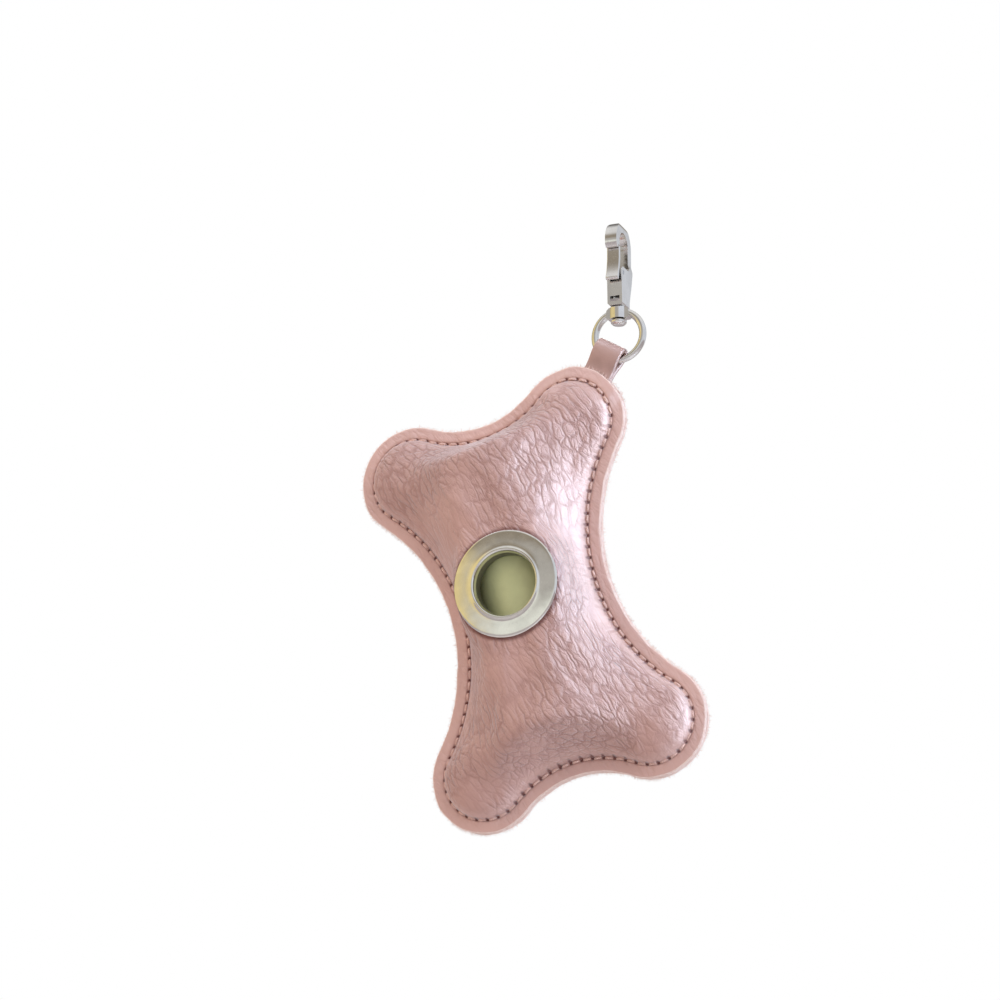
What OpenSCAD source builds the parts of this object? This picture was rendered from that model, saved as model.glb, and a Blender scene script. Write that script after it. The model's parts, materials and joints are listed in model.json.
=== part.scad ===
// Bone-shaped leather pouch for a roll of bags, on a slim trigger snap with a swivel ring.
// +Z is up, the eyelet faces -Y and +X is to the right. The origin is the centre of the hook's bow.
// The pouch hangs a little to the left of the ring and leans, and everything on it is drawn in its own
// upright frame, whose origin is the middle of the bone.

/* [Bone outline] */
// Distance of a lobe's centre from the long axis
lobe_x = 23; // [21:0.5:25]
// Distance of a lobe's centre from the middle, along the long axis
lobe_z = 41.5; // [40:0.5:44]
// Radius of a lobe's round end
lobe_r = 14.7; // [14:0.1:16]
// Radius of the hollow curve at the waist
side_r = 48; // [46:1:52]
// Radius of the hollow curve at each end
end_r = 26; // [24:1:30]

/* [Leather] */
// Thickness of the panels' leather
leather_t = 1.4; // [1.2:0.1:1.6]
// Flat margin from the raw edge to the seam's stitches
seam_w = 3.8; // [3.4:0.1:4.4]
// How far the leather bulges over a lobe, above the seam
lobe_h = 6; // [5:0.5:7]
// Distance from the seam over which the leather rounds up
puff_w = 8; // [7:0.5:9]
// Half width of the drape past the ends of the roll
drape_w = 30; // [29:0.5:31]

/* [Bag roll] */
// Diameter of a full roll of bags
roll_d = 28; // [26:0.5:28.5]
// Length of the roll
roll_len = 60; // [56:1:60]
// Outer diameter of the tube that the bags are wound on
core_d = 12; // [10:1:14]
// Wall of that tube
core_wall = 1; // [0.8:0.1:1.4]
// Gap left between the roll and what it touches
roll_gap = 0.3; // [0.3:0.05:0.5]

/* [Eyelet] */
// Outer diameter of the eyelet
eyelet_d = 28; // [26:0.5:28]
// Clear diameter of its throat
throat_d = 16; // [15:0.5:17]
// Wall of the throat
throat_wall = 0.6; // [0.5:0.1:0.8]
// Height of the bead above the leather
bead_h = 1.35; // [1.2:0.05:1.6]
// Width of the washer's rim behind the leather, measured from the throat's wall
washer_w = 2.9; // [2.4:0.1:3.4]
// Thickness of the washer
washer_t = 0.6; // [0.5:0.1:0.8]
// Depth of the rolled end behind the washer
curl_h = 0.9; // [0.8:0.1:1.1]

/* [Zipper] */
// Length of the window in the back panel past each end of the roll
window_over = 4; // [2:0.5:4.5]
// Half width of that window
window_r = 4.5; // [4.3:0.1:4.8]
// Distance from one tooth to the next on the same side
tooth_pitch = 2; // [1.9:0.1:2.2]
// Thickness of a tooth
tooth_t = 1.5; // [1.4:0.1:1.6]
// Thickness of the tape
tape_t = 0.5; // [0.4:0.05:0.6]
// Width of one tape from the centre line
tape_w = 11; // [10:0.5:11.5]
// Length of the slider
slider_len = 8.6; // [8:0.2:9.2]
// Width of the slider at its front
slider_w = 7.2; // [6.8:0.1:7.4]
// Thickness of the slider's plates
slider_wall = 0.6; // [0.5:0.1:0.7]
// Gap between the slider and the teeth
slider_gap = 0.3; // [0.25:0.05:0.35]
// Length of the puller from its hinge
puller_len = 17; // [14:1:22]
// Width of the puller
puller_w = 5; // [4.4:0.2:6]
// Thickness of the puller
puller_t = 1.2; // [1:0.1:1.4]

/* [Tab strap] */
// Width of the strap
strap_w = 8; // [7:0.5:8.5]
// Thickness of the strap's leather
strap_t = 1.3; // [1.1:0.1:1.4]
// Length of strap sewn in between the panels
strap_sewn = 8.5; // [7:0.5:10]
// Distance from the lobe's centre to the ring's centre
strap_reach = 26; // [25.5:0.5:27]
// Angle of the strap from the pouch's long axis
strap_angle = 45; // [42:1:48]

/* [Swivel ring] */
// Radius of the ring to the middle of its wire
ring_r = 6.6; // [6.4:0.1:7]
// Diameter of the ring's wire
wire_d = 1.9; // [1.7:0.1:2.1]
// Width of the ring's boss
boss_w = 6.6; // [6:0.2:7]
// Height of the boss
boss_h = 3.05; // [2.8:0.05:3.3]
// Diameter of the boss's round middle
boss_d = 4.6; // [4.2:0.1:5]
// Diameter of the rivet's shank
rivet_d = 1.8; // [1.6:0.1:2]
// Diameter of the knob inside the ring
knob_d = 4.2; // [3.8:0.1:4.4]
// Height of the knob
knob_h = 1.6; // [1.4:0.1:1.7]

/* [Trigger snap] */
// Inner radius of the hook's bow
bow_r = 3.2; // [3:0.1:3.4]
// Thickness of the bow, from inside to outside
bow_t = 2.6; // [2.4:0.1:2.8]
// Width of the hook
hook_w = 3.2; // [3:0.1:3.4]
// Width of the body
body_w = 4.1; // [4:0.1:4.4]
// Distance from the bow's centre down to the body's foot
body_drop = 17.3; // [17:0.1:18]
// Depth of the body's foot, front to back
foot_d = 6; // [5.6:0.1:6.4]
// Height of the window over the rivet's head
window_h = 1.4; // [1.3:0.1:1.6]
// Width of that window
window_w = 2.6; // [2.4:0.1:2.7]
// Thickness of the foot under the window
foot_t = 1; // [0.9:0.05:1.1]
// Diameter of the gate's pin
pin_d = 1.2; // [1:0.1:1.3]
// Width of the gate's plate
gate_w = 3.4; // [3.2:0.1:3.6]
// Diameter of the spring's wire
spring_wire = 0.3; // [0.25:0.05:0.35]
// Outer diameter of the spring
spring_d = 1.7; // [1.6:0.05:1.8]
// Turns of the spring
spring_turns = 5; // [4:1:5]

/* [Pose] */
// How far the bone's top leans to the left as it hangs in use
pouch_lean = 14.5; // [0:0.5:30]

/* [Hidden] */
$fn = 64;

// Clearances
touch_gap = 0.3;
swivel_gap = 0.15;
pin_gap = 0.05;
eps = 0.01;

// Colours
leather_pink = [0.80, 0.64, 0.60];
tape_pink = [0.70, 0.54, 0.51];
nickel = [0.78, 0.77, 0.74];
steel = [0.62, 0.62, 0.63];
bag_green = [0.66, 0.70, 0.46];
card_grey = [0.62, 0.57, 0.50];

// Bone outline: centres of the hollow curves, and the angles where the arcs meet
side_c = lobe_x + sqrt(pow(side_r + lobe_r, 2) - pow(lobe_z, 2));
end_c = lobe_z + sqrt(pow(end_r + lobe_r, 2) - pow(lobe_x, 2));
lobe_from = atan2(-lobe_z, side_c - lobe_x);
lobe_to = atan2(end_c - lobe_z, -lobe_x);
side_sweep = atan2(lobe_z, side_c - lobe_x);
end_sweep = atan2(lobe_x, end_c - lobe_z);
waist_half = side_c - side_r;
end_half = end_c - end_r;

// Steps along one quarter of the outline: waist curve, lobe, end curve
side_steps = 6;
lobe_steps = 14;
end_steps = 4;
quarter = side_steps + lobe_steps + end_steps;

// Heights above the middle plane, built up from the roll
roll_r = roll_d / 2;
eyelet_depth = leather_t + washer_t + curl_h;
front_h = roll_r + roll_gap + eyelet_depth;
slider_under = tooth_t / 2 + slider_gap + slider_wall;
tape_y = roll_r + roll_gap + slider_under;
back_h = tape_y + tape_t / 2 + pin_gap + leather_t;
roll_half_w = waist_half - seam_w + 1.3;
tube_r = throat_d / 2 + throat_wall;
hole_r = tube_r + pin_gap * 2;
edge_wall = 0.85 * leather_t;
washer_r = tube_r + washer_w;
seat_r = washer_r + 1.9;
flat_rim = max(eyelet_d / 2 + 0.2, seat_r + 0.8);
flat_blend = 5;
flat_ease = min(3, waist_half - seat_r - seam_w - edge_wall);
inset_last = waist_half - seat_r - 0.6;
window_half = roll_len / 2 + window_over;
drape_from = 12;
drape_len = 24;
fall_from = window_half + 2;
fall_len = 22;

// Swivel stack, from the foot down
foot_z = -body_drop;
boss_top = foot_z - swivel_gap;
ring_z = boss_top - ring_r - wire_d / 2;
boss_low = boss_top - boss_h;
knob_top = boss_low - swivel_gap / 2;

// Strap: in its own frame it runs down from the ring's centre
strap_lean = strap_angle - pouch_lean;
ring_hole = ring_r - wire_d / 2;
loop_in = wire_d / 2 + touch_gap;
loop_out = loop_in + strap_t;
fold_s = sqrt(pow(ring_hole, 2) - pow(strap_w / 2, 2)) - touch_gap + loop_in;
rim_s = strap_reach - lobe_r;
bend_s = rim_s - 1.5;
loop_end_s = bend_s - strap_t - touch_gap - 0.05;

// Middle of the bone, from the ring's centre
ring_in_bone = [lobe_x + strap_reach * sin(strap_angle), lobe_z + strap_reach * cos(strap_angle)];
bone_x = -(ring_in_bone[0] * cos(pouch_lean) - ring_in_bone[1] * sin(pouch_lean));
bone_z = ring_z - (ring_in_bone[0] * sin(pouch_lean) + ring_in_bone[1] * cos(pouch_lean));

// Zipper
teeth_low = -window_half + 3.6;
slider_z = window_half - 1.6 - slider_len / 2;
tooth_count = floor((slider_z - 0.4 - teeth_low) / tooth_pitch) + 1;
tooth_top = teeth_low + (tooth_count - 1) * tooth_pitch;
bead_x = 0.9;
tooth_leg = 2.3;
slider_lip = 0.6;
tooth_head = 0.5;
slider_top = tape_y + slider_under;
bridge_w = 1.5;
bridge_h = 2.2;
hinge_y = slider_top + 0.85;
hinge_z = slider_z + 0.6;
hinge_r = 0.4;

// Gate
pivot_y = -bow_r + 1.5;
pivot_z = -8.3;
ear_r = 1.6;
gate_y = -bow_r + touch_gap;
slot_w = 2.4;
slot_floor = -10.9;
web_w = 2.1;
toe_y = 1.5;
toe_z = -9;
spring_y = 0.7;
spring_low = -14;
hook_out = bow_r + bow_t;

function smooth(t) = let (u = min(1, max(0, t))) u * u * (3 - 2 * u);
function mix(a, b, t) = a * (1 - t) + b * t;
function soft_max(a, b, k) = max(a, b) + pow(max(k - abs(a - b), 0), 2) / (4 * k);

// Distance from the raw edge to a point inside the bone
function edge_dist(x, z) =
    let (
        ax = abs(x),
        az = abs(z),
        turn = atan2(az - lobe_z, ax - lobe_x),
        to_side = norm([ax - side_c, az]) - side_r,
        to_end = norm([ax, az - end_c]) - end_r
    )
    (turn > lobe_from && turn < lobe_to) ? lobe_r - norm([ax - lobe_x, az - lobe_z]) : min(to_side, to_end);

// Step k of a quarter of the outline, moved in by d
function outline_pt(k, d) =
    k <= side_steps ?
        let (t = side_sweep * k / side_steps)
        [side_c - (side_r + d) * cos(t), (side_r + d) * sin(t)]
    : k <= side_steps + lobe_steps ?
        let (t = lobe_from + (lobe_to - lobe_from) * (k - side_steps) / lobe_steps)
        [lobe_x + (lobe_r - d) * cos(t), lobe_z + (lobe_r - d) * sin(t)]
    :
        let (t = end_sweep * (quarter - k) / end_steps)
        [(end_r + d) * sin(t), end_c - (end_r + d) * cos(t)];

// Share of the way round a quarter of the hole, in step with the outline
function hole_share(k, at_side, at_lobe) =
    k <= side_steps ? at_side * k / side_steps
    : k <= side_steps + lobe_steps ? mix(at_side, at_lobe, (k - side_steps) / lobe_steps)
    : mix(at_lobe, 1, (k - side_steps - lobe_steps) / end_steps);

function ring_pt(k, r) =
    let (t = 90 * hole_share(k, 0.75, 0.92))
    r * [cos(t), sin(t)];

// A point on the window's outline, or on a wider one round it
function long_hole_pt(k, r) =
    let (
        straight = window_half - window_r,
        path = (straight + window_r * PI / 2) * hole_share(k, 0.62, 0.86),
        t = (path - straight) / window_r * 180 / PI
    )
    path <= straight ? [r, path] : [r * cos(t), straight + r * sin(t)];

// Rise of the leather above the flat seam: round over the roll, and a wide drape past its ends. The back
// is flat under the zipper. The inner face starts further in and is narrower.
function rise(x, z, front, inner) =
    let (
        top = (front ? front_h : back_h) - leather_t,
        wall = inner ? edge_wall : 0,
        crown = front ? 0 : window_r,
        e = edge_dist(x, z) - seam_w - wall,
        az = abs(z),
        out = max(0, abs(x) - crown),
        half = roll_half_w + 3 * min(1, pow(az / roll_len * 2, 2)) - wall - crown,
        drum = sqrt(1 - pow(min(1, out / half), 2.3)),
        drape = cos(90 * min(1, out / (drape_w - wall - crown))),
        fall = 1 - smooth((az - fall_from) / fall_len),
        over_roll = top * fall * mix(drum, drape, smooth((az - drape_from) / drape_len)),
        body = soft_max(over_roll, lobe_h, lobe_h) * sqrt(1 - pow(1 - min(1, max(0, e) / puff_w), 2)),
        flat = front ? (1 - smooth((norm([x, z]) - flat_rim) / flat_blend)) * min(1, max(0, e) / flat_ease) : 0
    )
    mix(min(body, top), top, flat);

// Lift of both panels where the strap lies between them
function strap_lift(x, z) =
    let (
        along = (x - lobe_x) * sin(strap_angle) + (z - lobe_z) * cos(strap_angle),
        across = (x - lobe_x) * cos(strap_angle) - (z - lobe_z) * sin(strap_angle)
    )
    along < 0 ? 0 : (strap_t + 0.05) * (1 - smooth((abs(across) - strap_w / 2 - 2.8) / 3));

function outer_h(x, z, front) = leather_t + max(rise(x, z, front, false), strap_lift(x, z));
function inner_h(x, z, front) = max(rise(x, z, front, true), strap_lift(x, z));

// Rings of the panels' grid: offsets from the raw edge, then shares of the way to the hole's seat, and one
// ring more at the hole
near_edge = [0, seam_w, for (t = [0.07, 0.26, 0.57, 1]) mix(seam_w, inset_last, t)];
outer_shares = [0.14, 0.31, 0.48, 0.65, 0.82, 1];
inner_near = [0, for (t = [0, 0.4, 1]) mix(seam_w + edge_wall, inset_last, t)];
inner_shares = [0.25, 0.5, 0.75, 1];

// Point i round ring j
function grid_pt(i, j, front, near, shares) =
    let (
        q = floor(i / quarter),
        k = q % 2 == 0 ? i % quarter : quarter - i % quarter,
        sx = (q == 0 || q == 3) ? 1 : -1,
        sz = q < 2 ? 1 : -1,
        edge = len(near),
        last = edge + len(shares),
        seat = front ? ring_pt(k, seat_r) : long_hole_pt(k, window_r + 1.5),
        p = j < edge ? outline_pt(k, near[j])
            : j < last ? mix(outline_pt(k, near[edge - 1]), seat, shares[j - edge])
            : front ? ring_pt(k, hole_r) : long_hole_pt(k, window_r)
    )
    [sx * p[0], sz * p[1]];

// Two triangles for each step between rings a and b. The diagonals are mirrored from quarter to quarter.
function ring_faces(count, a, b, flip) = [
    for (i = [0:count - 1])
        let (
            n = (i + 1) % count,
            pair = floor(i / quarter) % 2 == 0
                ? [[a + i, a + n, b + n], [a + i, b + n, b + i]]
                : [[a + i, a + n, b + i], [a + n, b + n, b + i]]
        )
        each flip ? [for (f = pair) [f[0], f[2], f[1]]] : pair
];

// One leather panel as a closed shell, front towards -Y and back towards +Y
module panel(front) {
    count = 4 * quarter;
    sign = front ? -1 : 1;
    outer_rings = len(near_edge) + len(outer_shares) + 1;
    inner_rings = len(inner_near) + len(inner_shares) + 1;
    outer_pts = [
        for (j = [0:outer_rings - 1], i = [0:count - 1])
            let (p = grid_pt(i, j, front, near_edge, outer_shares))
            [p[0], sign * outer_h(p[0], p[1], front), p[1]]
    ];
    inner_pts = [
        for (j = [0:inner_rings - 1], i = [0:count - 1])
            let (p = grid_pt(i, j, front, inner_near, inner_shares))
            [p[0], sign * inner_h(p[0], p[1], front), p[1]]
    ];
    base = outer_rings * count;
    faces = [
        for (j = [0:outer_rings - 2]) each ring_faces(count, j * count, (j + 1) * count, !front),
        for (j = [0:inner_rings - 2])
            each ring_faces(count, base + j * count, base + (j + 1) * count, front),
        each ring_faces(count, 0, base, front),
        each ring_faces(count, (outer_rings - 1) * count, base + (inner_rings - 1) * count, !front)
    ];
    polyhedron(points = concat(outer_pts, inner_pts), faces = faces, convexity = 8);
}

// Frames
module in_bone() {
    translate([bone_x, 0, bone_z])
        rotate([0, -pouch_lean, 0])
            children();
}

module in_strap() {
    translate([0, 0, ring_z])
        rotate([0, strap_lean, 0])
            children();
}

// A drawing in the Y-Z plane, drawn out along X about the middle
module along_x(width) {
    translate([-width / 2, 0, 0])
        rotate([90, 0, 90])
            linear_extrude(width)
                children();
}

module front_panel() {
    color(leather_pink)
        in_bone()
            panel(true);
}

module back_panel() {
    color(leather_pink)
        in_bone()
            panel(false);
}

// Part of the strap between the panels, with a round end at the bend
module tab_root() {
    color(leather_pink)
        in_strap() {
            along_x(strap_w)
                union() {
                    translate([0, -bend_s])
                        circle(strap_t);
                    translate([-strap_t, -rim_s - strap_sewn])
                        square([2 * strap_t, rim_s + strap_sewn - bend_s]);
                }
        }
}

// Part of the strap that is folded round the ring's wire
module tab_loop() {
    color(leather_pink)
        in_strap()
            along_x(strap_w)
                difference() {
                    union() {
                        translate([0, -fold_s])
                            circle(loop_out);
                        translate([-loop_out, -loop_end_s])
                            square([2 * loop_out, loop_end_s - fold_s]);
                    }
                    translate([0, -fold_s])
                        circle(loop_in);
                    translate([-loop_in, -loop_end_s - 1])
                        square([2 * loop_in, loop_end_s - fold_s + 1]);
                }
}

// Front half of the eyelet: bead, dished flange, raised inner rim, throat and rolled end
module eyelet() {
    r = throat_d / 2;
    out = eyelet_d / 2;
    back = -eyelet_depth;
    curl_r = tube_r + 1.2;
    color(nickel)
        in_bone()
            translate([0, -front_h, 0])
                rotate([90, 0, 0])
                    rotate_extrude()
                        polygon([
                            [tube_r, 0], [out, 0], [out, bead_h * 0.5], [out - 0.25, bead_h * 0.88],
                            [out - 0.66, bead_h], [out - 1.05, bead_h * 0.84], [out - 1.5, bead_h * 0.68],
                            [out - 3, bead_h * 0.76], [out - 4.3, bead_h * 0.9], [r + 1.4, bead_h * 1.02],
                            [r + 1, bead_h * 1.19], [r + 0.7, bead_h * 1.14], [r + 0.4, bead_h * 0.8],
                            [r + 0.13, bead_h * 0.1], [r, -bead_h * 0.9],
                            [r, back + 0.3], [r + 0.15, back + 0.08], [r + 0.4, back],
                            [curl_r - 0.3, back], [curl_r, back + 0.25], [curl_r, back + curl_h],
                            [tube_r, back + curl_h]
                        ]);
}

// Back half of the eyelet, a domed washer under the rolled end
module eyelet_washer() {
    inner = tube_r + pin_gap;
    color(steel)
        in_bone()
            translate([0, -front_h + leather_t, 0])
                rotate([-90, 0, 0])
                    rotate_extrude()
                        polygon([
                            [inner, 0], [washer_r, 0], [washer_r, washer_t * 0.5],
                            [washer_r - 0.5, washer_t], [inner, washer_t]
                        ]);
}

module bag_roll() {
    color(bag_green)
        in_bone()
            difference() {
                translate([0, 0, -roll_len / 2])
                    cylinder(h = roll_len, r = roll_r, $fn = 96);
                translate([0, 0, -roll_len / 2 - 1])
                    cylinder(h = roll_len + 2, d = core_d);
            }
}

module roll_core() {
    color(card_grey)
        in_bone()
            translate([0, 0, -roll_len / 2])
                difference() {
                    cylinder(h = roll_len, d = core_d);
                    translate([0, 0, -1])
                        cylinder(h = roll_len + 2, d = core_d - 2 * core_wall);
                }
}

// One tape: flat beside the teeth, then bent down under the leather
module tape(side) {
    bend_from = tooth_leg + 1.1;
    bend_r = 9.5;
    sweep = (tape_w - bend_from) / bend_r * 180 / PI;
    steps = 10;
    top = tape_y + tape_t / 2;
    outer = [
        for (i = [0:steps])
            let (t = sweep * i / steps)
            [bend_from + bend_r * sin(t), top - bend_r * (1 - cos(t))]
    ];
    inner = [
        for (i = [steps:-1:0])
            let (t = sweep * i / steps)
            [bend_from + (bend_r - tape_t) * sin(t), top - bend_r + (bend_r - tape_t) * cos(t)]
    ];
    in_bone()
        mirror([side < 0 ? 1 : 0, 0, 0])
            translate([0, 0, -window_half - 1.5])
                linear_extrude(2 * window_half + 3)
                    polygon(concat([[bead_x, top]], outer, inner, [[bead_x, top - tape_t]]));
}

module zipper_tape_left() {
    color(tape_pink)
        tape(-1);
}

module zipper_tape_right() {
    color(tape_pink)
        tape(1);
}

// One tooth on the right tape: legs clamped on the tape's edge, neck, round head with its pip
module tooth() {
    neck_w = tooth_pitch * 0.36;
    head_w = tooth_pitch * 0.46;
    difference() {
        union() {
            translate([0.2, tape_y - tooth_t / 2, -neck_w / 2])
                cube([tooth_leg - 0.2, tooth_t, neck_w]);
            translate([-tooth_head + head_w / 2, tape_y - tooth_t / 2, -head_w / 2])
                cube([0.35 + tooth_head - head_w / 2, tooth_t, head_w]);
            translate([-tooth_head + head_w / 2, tape_y + tooth_t / 2, 0])
                rotate([90, 0, 0])
                    cylinder(h = tooth_t, d = head_w, $fn = 24);
        }
        translate([bead_x - pin_gap, tape_y - tape_t / 2 - pin_gap, -tooth_pitch])
            cube([tooth_leg, tape_t + 2 * pin_gap, 2 * tooth_pitch]);
    }
}

module zipper_teeth_right() {
    color(nickel)
        in_bone()
            for (i = [0:tooth_count - 1])
                translate([0, 0, teeth_low + i * tooth_pitch])
                    tooth();
}

module zipper_teeth_left() {
    color(nickel)
        in_bone()
            mirror([1, 0, 0])
                for (i = [0:tooth_count - 2])
                    translate([0, 0, teeth_low + (i + 0.5) * tooth_pitch])
                        tooth();
}

// One stop crimped on each tape, just past the last teeth
module zipper_top_stops() {
    color(nickel)
        in_bone()
            for (side = [0, 1])
                mirror([side, 0, 0])
                    difference() {
                        translate([bead_x - 0.2, tape_y - tooth_t / 2, tooth_top + 0.9])
                            cube([tooth_leg - bead_x + 0.2, tooth_t, 1.8]);
                        translate([bead_x - pin_gap, tape_y - tape_t / 2 - pin_gap, tooth_top])
                            cube([tooth_leg, tape_t + 2 * pin_gap, 4]);
                    }
}

// One stop clamped across both tapes, below the first teeth
module zipper_bottom_stop() {
    color(nickel)
        in_bone()
            difference() {
                translate([-tooth_leg, tape_y - tooth_t / 2, teeth_low - 2.7])
                    cube([2 * tooth_leg, tooth_t, 2]);
                for (side = [0, 1])
                    mirror([side, 0, 0])
                        translate([bead_x - pin_gap, tape_y - tape_t / 2 - pin_gap, teeth_low - 4])
                            cube([tooth_leg, tape_t + 2 * pin_gap, 4]);
            }
}

// Outline of the slider's plates, wide at the front and narrow at the back
module slider_outline() {
    front = slider_w / 2;
    rear = tooth_leg + slider_gap + slider_lip;
    half = slider_len / 2;
    polygon([
        [rear - 0.6, -half], [rear, -half + 0.8], [rear, -0.6], [front, 1.2], [front, half - 1.4], [1.6, half],
        [-1.6, half], [-front, half - 1.4], [-front, 1.2], [-rear, -0.6], [-rear, -half + 0.8], [-rear + 0.6, -half]
    ]);
}

// Two plates joined by the divider at the front, side lips, and the bridge for the puller
module zipper_slider() {
    height = 2 * slider_under;
    divider_w = 0.8;
    tape_room = tape_t / 2 + touch_gap;
    color(nickel)
        in_bone()
            translate([0, 0, slider_z])
                difference() {
                    union() {
                        difference() {
                            translate([0, tape_y + slider_under, 0])
                                rotate([90, 0, 0])
                                    linear_extrude(height)
                                        slider_outline();
                            translate([0, tape_y + slider_under - slider_wall, 0])
                                rotate([90, 0, 0])
                                    linear_extrude(height - 2 * slider_wall)
                                        slider_channel();
                        }
                        translate([-divider_w / 2, tape_y - slider_under + 0.1, slider_len / 2 - 3.1])
                            cube([divider_w, height - 0.2, 2.6]);
                        slider_bridge();
                    }
                    for (side = [0, 1])
                        mirror([side, 0, 0])
                            translate([divider_w / 2 + 0.05, tape_y - tape_room, -slider_len])
                                cube([slider_w, 2 * tape_room, 2 * slider_len]);
                }
}

// Space that the teeth run through
module slider_channel() {
    front = slider_w / 2 - slider_lip;
    rear = tooth_leg + slider_gap;
    polygon([[rear, -slider_len], [rear, -0.6], [front, 1.2], [front, slider_len],
        [-front, slider_len], [-front, 1.2], [-rear, -0.6], [-rear, -slider_len]]);
}

// Arch on the top plate, with the eye that the puller hangs in
module slider_bridge() {
    half = 2.7;
    translate([0, slider_top - eps, hinge_z - slider_z])
        along_x(bridge_w)
            difference() {
                polygon([[0, -half], [bridge_h * 0.65, -half + 0.5], [bridge_h, -half + 1.5],
                    [bridge_h, half - 1.5], [bridge_h * 0.65, half - 0.5], [0, half]]);
                polygon([[0, -half + 0.8], [bridge_h * 0.4, -half + 1], [bridge_h - 0.6, -half + 1.8],
                    [bridge_h - 0.6, half - 1.8], [bridge_h * 0.4, half - 1], [0, half - 0.8]]);
            }
}

// Tab with a cross bar through the bridge and a slot at its end. At rest it hangs down.
module zipper_puller() {
    arm_w = 0.8;
    neck = bridge_w + 2 * touch_gap + 2 * arm_w;
    color(nickel)
        in_bone()
            translate([0, hinge_y, hinge_z]) {
                translate([-neck / 2, 0, 0])
                    rotate([0, 90, 0])
                        cylinder(h = neck, r = hinge_r, $fn = 32);
                for (side = [-1, 1])
                    translate([side * (neck - arm_w) / 2 - arm_w / 2, -hinge_r, -4.2])
                        cube([arm_w, puller_t * 0.6, 4.2]);
                puller_plate(neck);
            }
}

module puller_plate(neck) {
    translate([0, puller_t - 0.35, 0])
        rotate([90, 0, 0])
            linear_extrude(puller_t)
                difference() {
                    union() {
                        translate([0, -puller_len + puller_w / 2])
                            circle(puller_w / 2);
                        polygon([[-neck / 2, -3.8], [neck / 2, -3.8], [puller_w / 2, -6.5],
                            [puller_w / 2, -puller_len + puller_w / 2],
                            [-puller_w / 2, -puller_len + puller_w / 2], [-puller_w / 2, -6.5]]);
                    }
                    translate([0, -puller_len + puller_w / 2])
                        circle(puller_w * 0.24);
                }
}

// Round eye with a boss that turns on the rivet
module swivel_ring() {
    color(nickel)
        difference() {
            union() {
                translate([0, 0, ring_z])
                    rotate([90, 0, 0])
                        rotate_extrude()
                            translate([ring_r, 0])
                                circle(wire_d / 2, $fn = 32);
                translate([0, 0, boss_low])
                    cylinder(h = boss_h, d = boss_d);
                translate([0, wire_d * 0.65, boss_low])
                    rotate([90, 0, 0])
                        linear_extrude(wire_d * 1.3)
                            polygon([[-boss_w / 2, 0.5], [-boss_w / 2 + 0.5, 0], [boss_w / 2 - 0.5, 0],
                                [boss_w / 2, 0.5], [boss_w / 2 - 0.3, boss_h - 0.7],
                                [boss_w / 2 - 1, boss_h], [-boss_w / 2 + 1, boss_h],
                                [-boss_w / 2 + 0.3, boss_h - 0.7]]);
            }
            translate([0, 0, boss_low - 1])
                cylinder(h = boss_h + 2, d = rivet_d + 2 * pin_gap);
        }
}

// Rivet: flat head in the window, shank through the foot and the boss, domed knob inside the ring
module swivel_rivet() {
    head_low = foot_z + foot_t;
    color(nickel)
        rotate_extrude()
            polygon([
                [0, head_low + 0.7], [rivet_d / 2 + 0.15, head_low + 0.7], [rivet_d / 2 + 0.3, head_low + 0.5],
                [rivet_d / 2 + 0.3, head_low], [rivet_d / 2, head_low], [rivet_d / 2, knob_top],
                [knob_d / 2 - 0.5, knob_top], [knob_d / 2, knob_top - 0.5],
                [knob_d / 2, knob_top - knob_h * 0.6], [knob_d / 2 - 0.5, knob_top - knob_h * 0.9],
                [knob_d / 2 - 1.1, knob_top - knob_h], [0, knob_top - knob_h]
            ]);
}

// Side view of the snap's body: bow, spine, foot, ears and nose, going round clockwise
module snap_side() {
    foot = foot_d / 2;
    inner = bow_r - eps * 5;
    lip_y = gate_y - 1.3;
    bow = [for (t = [180:-10:0]) hook_out * [cos(t), sin(t)]];
    ear = [for (t = [180:-15:90]) [pivot_y + ear_r * cos(t), pivot_z + ear_r * sin(t)]];
    spine = [
        [hook_out, -3.5], [hook_out - 0.3, -7], [hook_out - 1.2, -10.5], [foot + 0.6, -13.5],
        [foot, -15.5], [foot, foot_z], [-foot, foot_z], [-foot, -14.5], [-foot - 0.1, -11.5]
    ];
    nose = [
        [inner - 0.9, pivot_z + ear_r], [inner, pivot_z + ear_r + 1], [inner, 1], [-inner, 1], [-inner, -1.2],
        [lip_y, -1.2], [lip_y, -2], [-hook_out + 0.7, -2], [-hook_out + 0.15, -1.2]
    ];
    difference() {
        polygon(concat(bow, spine, ear, nose));
        circle(bow_r);
    }
}

// Front view of the snap's body: narrow hook with a round top, straight shank, rounded foot
module snap_front() {
    hook = hook_w / 2;
    shank = body_w / 2;
    top = [for (t = [0:15:180]) [hook * cos(t), hook_out - hook + hook * sin(t)]];
    polygon(concat(top, [
        [-hook, -4.5], [-shank, -6.2], [-shank, foot_z + 0.5], [-shank + 0.5, foot_z],
        [shank - 0.5, foot_z], [shank, foot_z + 0.5], [shank, -6.2], [hook, -4.5]
    ]));
}

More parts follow.
